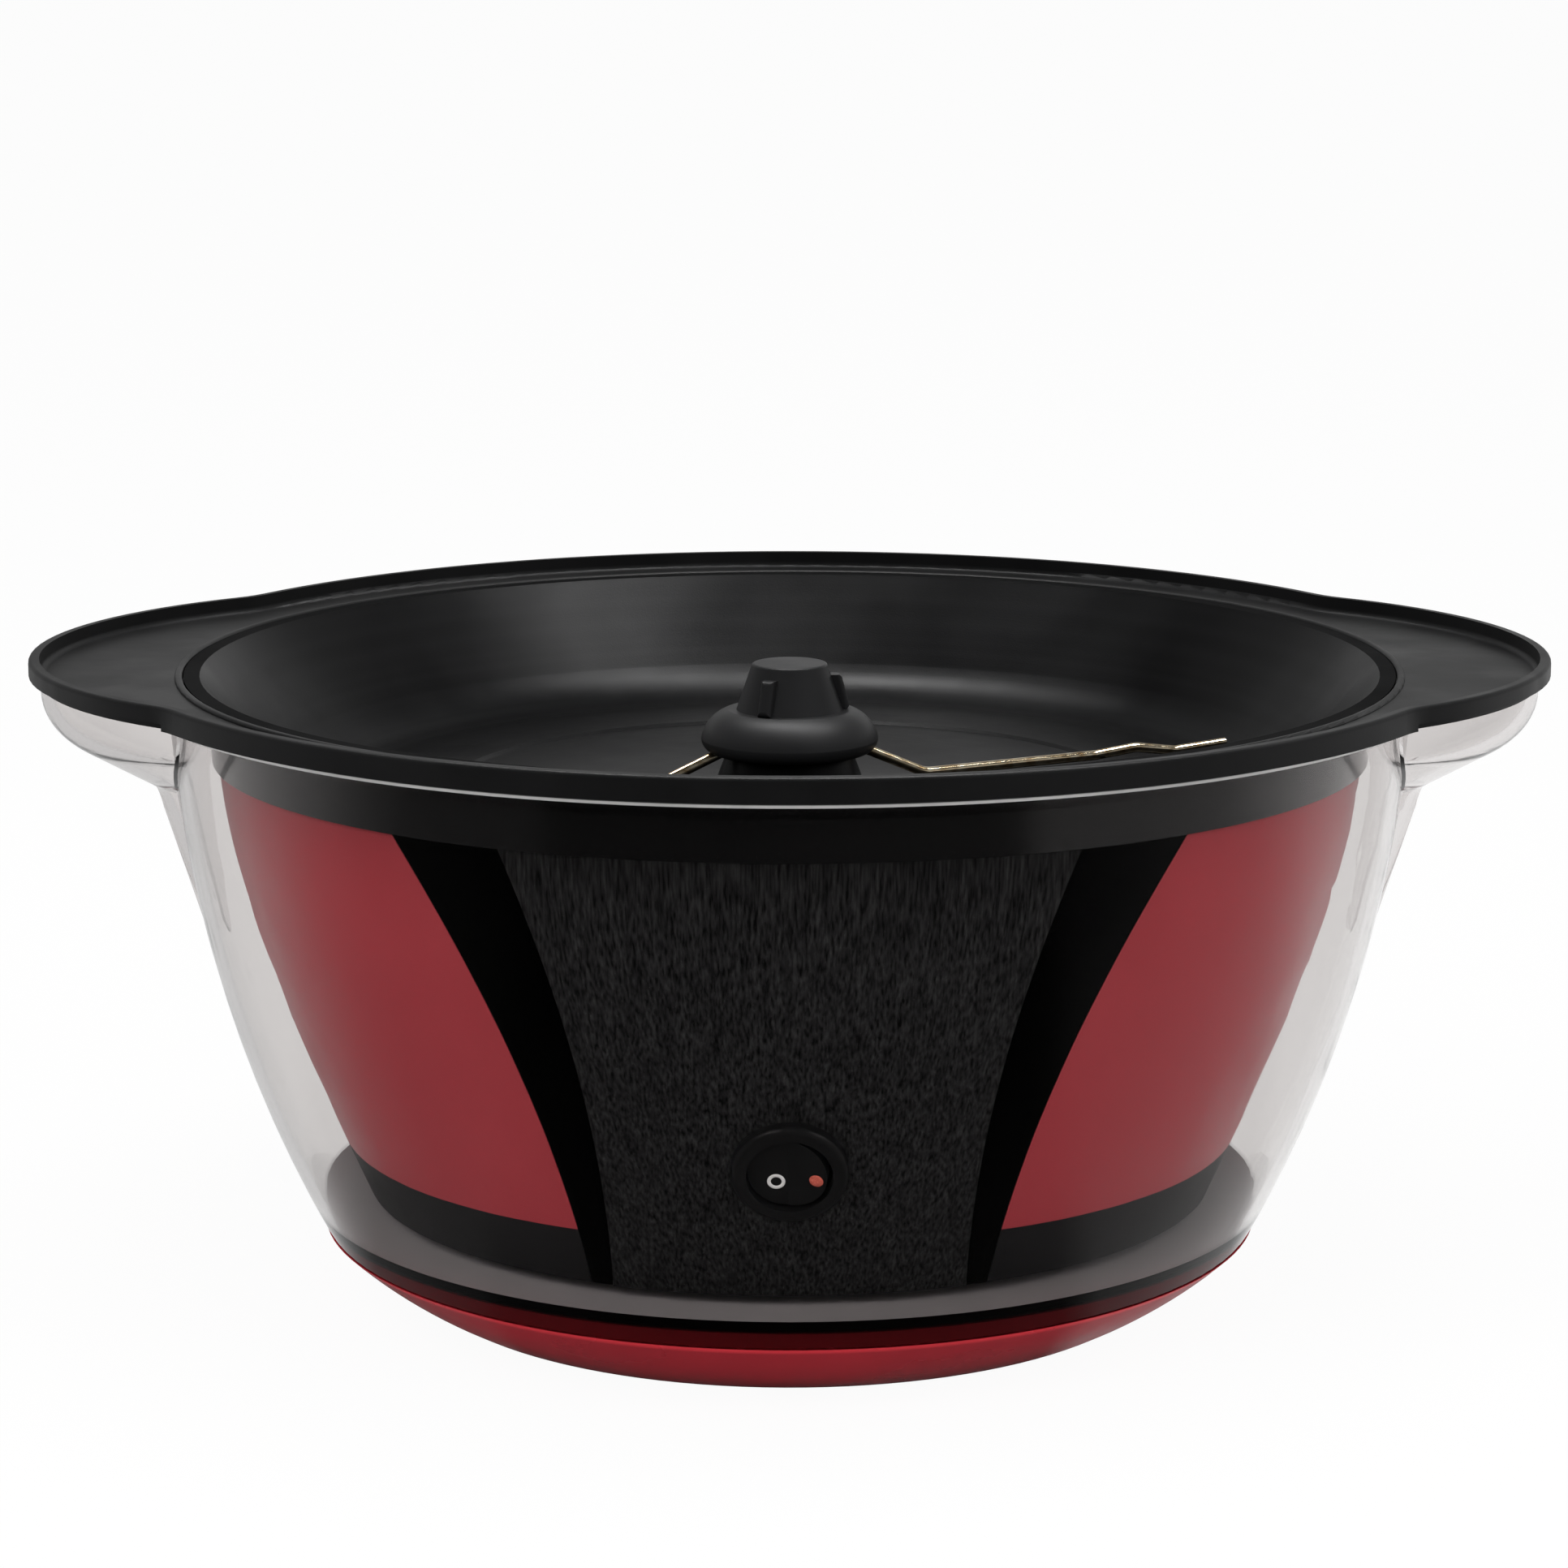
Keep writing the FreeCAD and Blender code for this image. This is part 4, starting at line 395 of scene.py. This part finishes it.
# %% Effect: turned rings
RING_DETAIL = 3.0
LEVEL_ONLY = (1.0, 1.0, 0.0)
turned_rings, turn_in, turn_out = new_effect("turned_rings", [("Rings", "FLOAT", 600.0)], ["Ring"])
turn_flat = vector_math(turned_rings, "MULTIPLY", where(turned_rings), LEVEL_ONLY)
turn_far = vector_math(turned_rings, "LENGTH", turn_flat["Vector"])
turn_noise = noise(turned_rings, turn_far["Value"], turn_in.outputs["Rings"], RING_DETAIL, "1D")
link(turned_rings, spread(turned_rings, turn_noise, NOISE_MIDDLE), turn_out.inputs["Ring"])
print("effect:", turned_rings.name)

# %% [markdown]
# Hands leave dull patches, and oil mist leaves more. This mask is mostly empty and rises in soft blots
# with broken edges. Each finish decides how dull the blots make it.

# %% Effect: handling marks
MARK_DETAIL = 6.0
MARK_RISE = (0.54, 0.74)
handling_marks, mark_in, mark_out = new_effect("handling_marks", [("Blots", "FLOAT", 22.0)], ["Mask"])
mark_noise = noise(handling_marks, where(handling_marks), mark_in.outputs["Blots"], MARK_DETAIL)
link(handling_marks, spread(handling_marks, mark_noise, MARK_RISE), mark_out.inputs["Mask"])
print("effect:", handling_marks.name)

# %% [markdown]
# A finish starts as one Principled shader. Numbers that are the same all over are set on the shader's own
# sockets, and what changes over the surface is linked. Small helpers place an effect, give a colour
# between two tones, join colour and roughness to the shader, and raise a bump from a height.

# %% Helpers for finishes
looks = {}


def start_finish(name, constants):
    """A new material with one Principled shader, its even values set on the shader's sockets."""
    look = bpy.data.materials.new(name)
    look.use_nodes = True
    shader = look.node_tree.nodes["Principled BSDF"]
    for label, value in constants.items():
        shader.inputs[label].default_value = value
    looks[name] = look
    return look.node_tree, shader


def place_effect(tree, group, values):
    """Puts an effect in a finish with its own values, and returns its outputs."""
    node = tree.nodes.new("ShaderNodeGroup")
    node.node_tree = group
    for label, value in values.items():
        node.inputs[label].default_value = value
    return node.outputs


def place_skin(tree, grain, rough_low, rough_high):
    """Puts the moulded skin in a finish, with its grains to the metre and its limits of roughness."""
    limits = {"Rough Low": rough_low, "Rough High": rough_high}
    return place_effect(tree, moulded_skin, {"Grain": grain, **limits})


def tone(tree, factor, dark, light):
    """A colour between two tones."""
    mix = tree.nodes.new("ShaderNodeMix")
    mix.data_type = "RGBA"
    link(tree, factor, mix.inputs["Factor"])
    mix.inputs["A"].default_value = (*dark, 1.0)
    mix.inputs["B"].default_value = (*light, 1.0)
    return mix.outputs["Result"]


def cover(tree, shader, colour, roughness):
    """Joins a colour and a roughness to a finish's shader."""
    link(tree, colour, shader.inputs["Base Color"])
    link(tree, roughness, shader.inputs["Roughness"])


def bump(tree, shader, height, depth):
    """Raises the surface by a height of up to a depth in metres."""
    node = tree.nodes.new("ShaderNodeBump")
    node.inputs["Distance"].default_value = depth
    node.inputs["Strength"].default_value = 1.0
    link(tree, height, node.inputs["Height"])
    link(tree, node.outputs["Normal"], shader.inputs["Normal"])


print("finish helpers ready")

# %% [markdown]
# The bowl and its handles are one clear moulding. It is glass to the renderer: light passes and bends. A
# faint grey tone darkens what is seen through two walls, as it does at the bowl's sides. The plastic also
# takes up a little light over its depth, so light that runs along the floor of the bowl is lost before it
# comes out at the edge. The ring under the floor is tinted a much darker grey, which is painted shade for
# the shade in the cap where the bowl stands. Shadow rays go straight through, so the lamps still light
# what stands inside it. The floor and the lip's edge are frosted by a textured mould, which hides the
# scratches that those two places get, so each is a finish of its own. The lip's edge also has a pale band
# low on its outer face, a painted highlight, and is near black above that band.

# %% Finish: clear plastic
CLEAR_TONE = (0.83, 0.815, 0.81)
# The foot tone below the foot edge is painted shade: the clear tint turns dark grey there, for the shade in
# the cap under the bowl.
FOOT_SHADE_TONE = (0.2, 0.19, 0.19)
FOOT_SHADE_EDGE = (0.0205, 0.0218)
CLEAR_BEND = 1.2
CLEAR_GLINT = (0.05, 0.05, 0.05, 1.0)
DEPTH_TONE = (0.71, 0.675, 0.665, 1.0)
DEPTH_DENSITY = 40.0
SHADOW_TONE = (0.9, 0.9, 0.9, 1.0)
clear_tree, clear_shader = start_finish(
    "clear_moulding",
    {"Transmission Weight": 1.0, "IOR": CLEAR_BEND, "Metallic": 0.0, "Specular Tint": CLEAR_GLINT},
)
clear_skin = place_skin(clear_tree, 160.0, 0.008, 0.03)
# Painted shade on the ring under the floor, mixed into the clear tint.
foot_shade_mask = spread(clear_tree, height_of(clear_tree), FOOT_SHADE_EDGE, FALLING)
clear_and_shade_tone = tone(clear_tree, foot_shade_mask, CLEAR_TONE, FOOT_SHADE_TONE)
cover(clear_tree, clear_shader, clear_and_shade_tone, clear_skin["Roughness"])
clear_depth = clear_tree.nodes.new("ShaderNodeVolumeAbsorption")
clear_depth.inputs["Color"].default_value = DEPTH_TONE
clear_depth.inputs["Density"].default_value = DEPTH_DENSITY
clear_shadow = clear_tree.nodes.new("ShaderNodeBsdfTransparent")
clear_shadow.inputs["Color"].default_value = SHADOW_TONE
shadow_ray = clear_tree.nodes.new("ShaderNodeLightPath").outputs["Is Shadow Ray"]
whole_clear = mix_shaders(clear_tree, shadow_ray, clear_shader.outputs["BSDF"], clear_shadow.outputs[0])
clear_out = clear_tree.nodes["Material Output"]
link(clear_tree, whole_clear, clear_out.inputs["Surface"])
link(clear_tree, clear_depth.outputs["Volume"], clear_out.inputs["Volume"])

# Each frosting's dark and light tone, and the height below which it is light. On the lip the light band is a
# painted highlight.
FROSTS_AND_HIGHLIGHT = {
    "frosted_floor": ((0.29, 0.268, 0.27), (0.35, 0.325, 0.328), 0.05),
    "frosted_lip_highlight": ((0.02, 0.02, 0.02), (0.86, 0.85, 0.84), 0.1389),
}
FROST_EVEN = {"Transmission Weight": 0.25, "IOR": CLEAR_BEND, "Metallic": 0.0, "Specular IOR Level": 0.2}
FROST_BLUR = 0.0001
FROST_CLOUD = (0.8, 1.0)
FROST_DEPTH = 0.000004
for frost_name, (dark, light, pale_below) in FROSTS_AND_HIGHLIGHT.items():
    frost_tree, frost_shader = start_finish(frost_name, FROST_EVEN)
    frost_skin = place_skin(frost_tree, 900.0, 0.5, 0.62)
    pale_band_edge = (pale_below - FROST_BLUR, pale_below + FROST_BLUR)
    frost_and_highlight_band = spread(frost_tree, height_of(frost_tree), pale_band_edge, FALLING)
    frost_cloud = spread(frost_tree, frost_skin["Cloud"], UNIT, FROST_CLOUD)
    frost_and_highlight_tone = tone(frost_tree, product(frost_tree, frost_and_highlight_band, frost_cloud), dark, light)
    cover(frost_tree, frost_shader, frost_and_highlight_tone, frost_skin["Roughness"])
    bump(frost_tree, frost_shader, frost_skin["Height"], FROST_DEPTH)
print("finishes:", "clear_moulding,", ", ".join(FROSTS_AND_HIGHLIGHT))

# %% [markdown]
# Two reds. The cap is coloured through and smooth, with a soft shine, and its thin upper edge has a
# painted highlight in a brighter red. The shell is painted, a little pinker, with a faint cloud in the
# paint that keeps it from looking like flat card.

# %% Finish: reds
# The bright red above the cap's edge height is a painted highlight. The same red is the light end of the
# cap's cloud.
CAP_DARK = (0.29, 0.018, 0.027)
CAP_CLOUD_AND_HIGHLIGHT = (0.62, 0.036, 0.05)
CAP_CLOUD = (0.0, 0.15)
CAP_HIGHLIGHT_EDGE = (0.0138, 0.0148)
CAP_DEPTH = 0.00001
SHELL_DARK = (0.315, 0.036, 0.045)
SHELL_LIGHT = (0.34, 0.04, 0.05)
SHELL_DEPTH = 0.000003
cap_tree, cap_shader = start_finish("red_cap_plastic", {"Specular IOR Level": 0.04})
cap_skin = place_skin(cap_tree, 900.0, 0.24, 0.36)
cap_cloud = spread(cap_tree, cap_skin["Cloud"], UNIT, CAP_CLOUD)
cap_cloud_and_highlight = larger(cap_tree, cap_cloud, spread(cap_tree, height_of(cap_tree), CAP_HIGHLIGHT_EDGE))
cover(cap_tree, cap_shader, tone(cap_tree, cap_cloud_and_highlight, CAP_DARK, CAP_CLOUD_AND_HIGHLIGHT), cap_skin["Roughness"])
bump(cap_tree, cap_shader, cap_skin["Height"], CAP_DEPTH)

shell_tree, shell_shader = start_finish("red_shell_paint", {"Specular IOR Level": 0.12})
shell_skin = place_skin(shell_tree, 3200.0, 0.32, 0.42)
shell_tone = tone(shell_tree, shell_skin["Cloud"], SHELL_DARK, SHELL_LIGHT)
cover(shell_tree, shell_shader, shell_tone, shell_skin["Roughness"])
bump(shell_tree, shell_shader, shell_skin["Cloud"], SHELL_DEPTH)
print("finish:", "red_cap_plastic, red_shell_paint")

# %% [markdown]
# Most of the rest is black, and the blacks differ. The rim and the stir knob have a satin grain, the
# skirt and the pan's flat edge are duller, and the neck band and the strips beside the panel are
# polished. Small steps of tone and gloss tell them apart, so each is its own finish made by the same few
# lines.

# %% Finish: blacks
# Each black's grain, limits of roughness, dark and light tone, depth of the grain, and shine.
BLACKS = {
    "satin_rim": (1700.0, 0.40, 0.52, (0.0045, 0.0045, 0.0047), (0.0075, 0.0075, 0.0078), 0.000012, 0.12),
    "satin_knob": (1900.0, 0.36, 0.48, (0.0095, 0.0095, 0.01), (0.0135, 0.0135, 0.0142), 0.000014, 0.14),
    "dull_skirt": (1500.0, 0.48, 0.6, (0.0105, 0.0101, 0.0105), (0.0145, 0.014, 0.0145), 0.000001, 0.06),
    "dull_edge": (1500.0, 0.6, 0.7, (0.0018, 0.0018, 0.002), (0.003, 0.003, 0.0032), 0.000001, 0.015),
    "switch_black": (2400.0, 0.28, 0.4, (0.0055, 0.0055, 0.0057), (0.008, 0.008, 0.0082), 0.000012, 0.16),
    "polished_band": (700.0, 0.09, 0.17, (0.0018, 0.0018, 0.002), (0.0028, 0.0028, 0.003), 0.0000001, 0.5),
    "polished_strip": (700.0, 0.1, 0.16, (0.0002, 0.0002, 0.0002), (0.0004, 0.0004, 0.0004), 0.000004, 0.01),
}
BLACK_BLOTS = 26.0
BLOT_DULLS = 0.05
for black_name, (grain, rough_low, rough_high, dark, light, depth, shine) in BLACKS.items():
    black_tree, black_shader = start_finish(black_name, {"Specular IOR Level": shine})
    black_skin = place_skin(black_tree, grain, rough_low, rough_high)
    black_marks = place_effect(black_tree, handling_marks, {"Blots": BLACK_BLOTS})
    black_limits = (black_skin["Roughness"], rough_high + BLOT_DULLS)
    black_rough = spread(black_tree, black_marks["Mask"], UNIT, black_limits)
    cover(black_tree, black_shader, tone(black_tree, black_skin["Cloud"], dark, light), black_rough)
    bump(black_tree, black_shader, black_skin["Height"], depth)
print("finishes:", ", ".join(BLACKS))

# %% [markdown]
# The front panel is black metal brushed from top to bottom. The streaks are very fine and short, and they
# change the tone, the gloss and the height together. Broader streaks darken some of them.

# %% Finish: brushed panel
FINE_STRETCH = (1700.0, 1700.0, 75.0)
BROAD_STRETCH = (500.0, 500.0, 16.0)
BROAD_SHARE = (0.55, 1.0)
PANEL_DARK = (0.0012, 0.0012, 0.0013)
PANEL_LIGHT = (0.037, 0.037, 0.0374)
PANEL_ROUGH = (0.56, 0.46)
PANEL_DEPTH = 0.000002
panel_tree, panel_shader = start_finish("brushed_panel", {"Specular IOR Level": 0.08, "Metallic": 0.2})
panel_fine = place_effect(panel_tree, brushed_lines, {"Stretch": FINE_STRETCH})
panel_broad = place_effect(panel_tree, brushed_lines, {"Stretch": BROAD_STRETCH})
panel_darker = spread(panel_tree, panel_broad["Streak"], UNIT, BROAD_SHARE)
panel_share = product(panel_tree, panel_fine["Streak"], panel_darker)
panel_rough = spread(panel_tree, panel_fine["Streak"], UNIT, PANEL_ROUGH)
cover(panel_tree, panel_shader, tone(panel_tree, panel_share, PANEL_DARK, PANEL_LIGHT), panel_rough)
bump(panel_tree, panel_shader, panel_fine["Streak"], PANEL_DEPTH)
print("finish:", "brushed_panel")

# %% [markdown]
# The pan has a dark non-stick coat over spun aluminium. It shows faint rings, a fine speckle, and a broad
# soft shine low on its wall where the lamp above is mirrored.

# %% Finish: non-stick pan
PAN_DARK = (0.0018, 0.0018, 0.002)
PAN_LIGHT = (0.0034, 0.0034, 0.0037)
PAN_RINGS = 420.0
PAN_BLOTS = 14.0
PAN_DULL = 0.44
RING_HEIGHT = (0.0, 0.35)
PAN_DEPTH = 0.00002
pan_tree, pan_shader = start_finish("nonstick_coat", {"Specular IOR Level": 0.08})
pan_skin = place_skin(pan_tree, 2600.0, 0.3, 0.38)
pan_rings = place_effect(pan_tree, turned_rings, {"Rings": PAN_RINGS})
pan_marks = place_effect(pan_tree, handling_marks, {"Blots": PAN_BLOTS})
pan_rough = spread(pan_tree, pan_marks["Mask"], UNIT, (pan_skin["Roughness"], PAN_DULL))
cover(pan_tree, pan_shader, tone(pan_tree, pan_rings["Ring"], PAN_DARK, PAN_LIGHT), pan_rough)
pan_ridge = spread(pan_tree, pan_rings["Ring"], UNIT, RING_HEIGHT)
bump(pan_tree, pan_shader, combine(pan_tree, "ADD", pan_ridge, pan_skin["Height"]), PAN_DEPTH)
print("finish:", "nonstick_coat")

# %% [markdown]
# Metals differ by tone, by gloss and by the way they were worked. The stir rod is plated wire with a warm
# tint, the screws and shafts are turned steel, the sheet parts are rolled, and the element's sheath is
# dulled by heat.

# %% Finish: metals
# Each metal's dark and light tone, limits of roughness, and stretch of its lines.
METALS = {
    "plated_wire": ((0.46, 0.31, 0.15), (0.95, 0.86, 0.66), 0.16, 0.3, (500.0, 500.0, 900.0)),
    "turned_steel": ((0.46, 0.46, 0.46), (0.62, 0.62, 0.61), 0.26, 0.4, (300.0, 300.0, 2600.0)),
    "rolled_sheet": ((0.42, 0.43, 0.44), (0.58, 0.59, 0.6), 0.32, 0.48, (40.0, 1800.0, 1800.0)),
    "heated_sheath": ((0.16, 0.14, 0.13), (0.34, 0.31, 0.28), 0.4, 0.58, (160.0, 160.0, 160.0)),
    "pressed_brass": ((0.58, 0.42, 0.17), (0.78, 0.6, 0.28), 0.24, 0.4, (1500.0, 60.0, 1500.0)),
}
METAL_BLOTS = 60.0
METAL_DEPTH = 0.000006
for metal_name, (dark, light, rough_low, rough_high, stretch) in METALS.items():
    metal_tree, metal_shader = start_finish(metal_name, {"Metallic": 1.0})
    metal_lines = place_effect(metal_tree, brushed_lines, {"Stretch": stretch})
    metal_marks = place_effect(metal_tree, handling_marks, {"Blots": METAL_BLOTS})
    metal_rough = spread(metal_tree, metal_marks["Mask"], UNIT, (rough_low, rough_high))
    cover(metal_tree, metal_shader, tone(metal_tree, metal_lines["Streak"], dark, light), metal_rough)
    bump(metal_tree, metal_shader, metal_lines["Streak"], METAL_DEPTH)
print("finishes:", ", ".join(METALS))

# %% [markdown]
# The last finishes are for the inner pieces that only show when the part is taken apart, and for the
# feet: rubber, pale nylon for the gears, brown moulding powder for the inlet and thermostat, sleeving and
# taped windings.

# %% Finish: rubber, nylon, moulding powder, sleeving and winding
# Each filling's grain, limits of roughness, dark and light tone, and depth of the grain.
FILLS = {
    "foot_rubber": (1100.0, 0.68, 0.84, (0.05, 0.05, 0.05), (0.085, 0.085, 0.083), 0.00003),
    "gear_nylon": (1300.0, 0.38, 0.5, (0.66, 0.63, 0.55), (0.72, 0.7, 0.63), 0.000012),
    "brown_powder": (2100.0, 0.34, 0.5, (0.011, 0.0075, 0.006), (0.021, 0.014, 0.011), 0.000016),
    "lead_sleeve": (1600.0, 0.55, 0.7, (0.36, 0.34, 0.31), (0.5, 0.48, 0.44), 0.00005),
}
FILL_FLECK = (0.35, 0.7)
COIL_STRETCH = (60.0, 60.0, 2200.0)
COIL_DARK = (0.16, 0.05, 0.018)
COIL_LIGHT = (0.36, 0.13, 0.05)
COIL_ROUGH = (0.45, 0.3)
COIL_DEPTH = 0.00008
for fill_name, (grain, rough_low, rough_high, dark, light, depth) in FILLS.items():
    fill_tree, fill_shader = start_finish(fill_name, {"Specular IOR Level": 0.4})
    fill_skin = place_skin(fill_tree, grain, rough_low, rough_high)
    fill_fleck = spread(fill_tree, fill_skin["Height"], FILL_FLECK)
    cover(fill_tree, fill_shader, tone(fill_tree, fill_fleck, dark, light), fill_skin["Roughness"])
    bump(fill_tree, fill_shader, fill_skin["Height"], depth)
coil_tree, coil_shader = start_finish("taped_winding", {"Specular IOR Level": 0.45})
coil_turns = place_effect(coil_tree, brushed_lines, {"Stretch": COIL_STRETCH})
coil_rough = spread(coil_tree, coil_turns["Streak"], UNIT, COIL_ROUGH)
cover(coil_tree, coil_shader, tone(coil_tree, coil_turns["Streak"], COIL_DARK, COIL_LIGHT), coil_rough)
bump(coil_tree, coil_shader, coil_turns["Streak"], COIL_DEPTH)
print("finishes:", ", ".join(FILLS), "taped_winding")

# %% [markdown]
# Each node of the model now gets its finish. The mesh stays as it is and only its material changes. A
# list by finish is easier to read than one by node, and a count at the end shows that no node was left
# out. Then a few faces take a finish of their own, chosen by height and by how far they look up: the
# bowl's floor, the edge of its lip, and the flat edge of the pan.

# %% Dress the nodes
DRESS = {
    "clear_moulding": ["serving_bowl", "bowl_handle_right", "bowl_handle_left"],
    "red_cap_plastic": ["bowl_cap"],
    "red_shell_paint": ["side_shell"],
    "satin_rim": ["top_rim"],
    "satin_knob": ["stir_hub", "stir_knob"],
    "dull_skirt": ["base_skirt", "bottom_cover", "switch_body"],
    "switch_black": ["switch_bezel", "rocker"],
    "polished_band": ["neck_band"],
    "polished_strip": ["panel_trim_left", "panel_trim_right"],
    "brushed_panel": ["control_panel"],
    "nonstick_coat": ["popping_pan"],
    "plated_wire": ["stir_arm_right", "stir_arm_left"],
    "turned_steel": [
        "tie_screws", "clamp_screws", "drive_shaft", "idler_axle", "gearbox_screws", "motor_screws",
    ],
    "rolled_sheet": ["element_clamps", "heat_shield", "motor_can"],
    "heated_sheath": ["heating_element", "motor_rotor"],
    "pressed_brass": ["shaft_bushing", "switch_terminals", "inlet_pins"],
    "foot_rubber": [
        "shaft_seal", "foot_front_left", "foot_front_right", "foot_back_left", "foot_back_right",
    ],
    "gear_nylon": ["output_gear", "idler_gear", "gearbox_case", "gearbox_lid"],
    "brown_powder": ["thermostat", "thermal_fuse", "inlet_housing"],
    "lead_sleeve": ["lead_live", "lead_switched", "lead_neutral"],
    "taped_winding": ["motor_coil"],
}
dressed = set()
for look_name, members in DRESS.items():
    for member in members:
        mesh = nodes[member].data
        mesh.materials.clear()
        mesh.materials.append(looks[look_name])
        dressed.add(member)
print("dressed:", len(dressed), "left out:", sorted(set(nodes) - dressed))


def dress_faces(member, look_name, heights, ups):
    """Gives a finish to a node's faces between two heights that look up by a share between two others."""
    mesh = nodes[member].data
    mesh.materials.append(looks[look_name])
    chosen = 0
    for face in mesh.polygons:
        if heights[0] < face.center.z < heights[1] and ups[0] < face.normal.z < ups[1]:
            face.material_index = len(mesh.materials) - 1
            chosen += 1
    print(look_name, "on", chosen, "faces of", member)


BOWL_FLOOR_TOP = 0.0235
LIP_UNDER = 0.1384
PAN_EDGE_UNDER = 0.1410
PART_TOP = cad_box[1][2]
LOOKS_UP = (0.7, 1.1)
LOOKS_OUT = (-0.7, 0.7)
dress_faces("serving_bowl", "frosted_floor", (0.0, BOWL_FLOOR_TOP), LOOKS_UP)
# The lip's faces get the pale band, which is a painted highlight, and are near black above it.
dress_faces("serving_bowl", "frosted_lip_highlight", (LIP_UNDER, PART_TOP), LOOKS_OUT)
dress_faces("popping_pan", "dull_edge", (PAN_EDGE_UNDER, PART_TOP), LOOKS_UP)

# %% [markdown]
# The rocker carries two printed marks, a white ring for off and a red dot for on. Each is a very thin
# patch of ink. Rays sent down onto the rocker's own face find where the ink lies, so it follows the face
# exactly.

# %% Marks on the rocker
SWITCH_MIDDLE = Vector((0.0, -0.10993, 0.0556))
SWITCH_OUT = Vector((0.0, -0.92969, -0.36835))
SWITCH_UP = Vector((0.0, -0.36835, 0.92969))
SWITCH_SIDE = Vector((1.0, 0.0, 0.0))
RAY_START = 0.02
INK_RISE = 0.00005
INK_SINK = 0.00003
INK_STEPS = 48

rocker_mesh = nodes["rocker"].data
rocker_face = BVHTree.FromPolygons(
    [v.co.copy() for v in rocker_mesh.vertices], [tuple(p.vertices) for p in rocker_mesh.polygons]
)


def on_rocker(side, up, lift):
    """A point lifted off the rocker's face, from its place beside and above the switch's middle."""
    start = SWITCH_MIDDLE + SWITCH_SIDE * side + SWITCH_UP * up + SWITCH_OUT * RAY_START
    hit = rocker_face.ray_cast(start, -SWITCH_OUT)[0]
    return hit + SWITCH_OUT * lift


def ink_patch(name, place, radii, look):
    """A thin round patch of printed ink between two radii. An inner radius of 0 fills it."""
    side, up = place
    inner, outer = radii
    middle = (inner + outer) / 2
    tops = [(middle, INK_RISE), (outer, INK_RISE), (outer, -INK_SINK)]
    if inner > 0:
        tops = [(inner, -INK_SINK), (inner, INK_RISE), *tops]
    build = bmesh.new()
    rings = []
    for radius, lift in tops:
        ring = []
        for step in range(INK_STEPS):
            turn = 2 * math.pi * step / INK_STEPS
            point = on_rocker(side + radius * math.cos(turn), up + radius * math.sin(turn), lift)
            ring.append(build.verts.new(point))
        rings.append(ring)
    for low, high in zip(rings, rings[1:]):
        for step in range(INK_STEPS):
            after = (step + 1) % INK_STEPS
            build.faces.new((low[step], high[step], high[after], low[after]))
    if inner == 0:
        hub = build.verts.new(on_rocker(side, up, INK_RISE))
        for step in range(INK_STEPS):
            build.faces.new((hub, rings[0][step], rings[0][(step + 1) % INK_STEPS]))
    bmesh.ops.recalc_face_normals(build, faces=build.faces)
    mesh = bpy.data.meshes.new(name)
    build.to_mesh(mesh)
    build.free()
    for face in mesh.polygons:
        face.use_smooth = True
    mesh.materials.append(look)
    piece = bpy.data.objects.new(name, mesh)
    scene.collection.objects.link(piece)
    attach(piece, "rocker")
    return piece


# Each ink's dark and light tone.
INKS = {
    "white_ink": ((0.66, 0.66, 0.65), (0.82, 0.82, 0.81)),
    "red_ink": ((0.42, 0.06, 0.04), (0.66, 0.16, 0.11)),
}
for ink_name, (dark, light) in INKS.items():
    ink_tree, ink_shader = start_finish(ink_name, {"Specular IOR Level": 0.3})
    ink_skin = place_skin(ink_tree, 3600.0, 0.5, 0.6)
    ink_fleck = spread(ink_tree, ink_skin["Height"], NOISE_MIDDLE)
    cover(ink_tree, ink_shader, tone(ink_tree, ink_fleck, dark, light), ink_skin["Roughness"])

OFF_PLACE = (-0.00274, -0.0022)
OFF_RADII = (0.00112, 0.00186)
ON_PLACE = (0.00541, -0.0009)
ON_RADII = (0.0, 0.00142)
off_ring = ink_patch("rocker_off_ring", OFF_PLACE, OFF_RADII, looks["white_ink"])
on_dot = ink_patch("rocker_on_dot", ON_PLACE, ON_RADII, looks["red_ink"])
print("marks:", off_ring.name, on_dot.name, "faces", len(off_ring.data.polygons), len(on_dot.data.polygons))
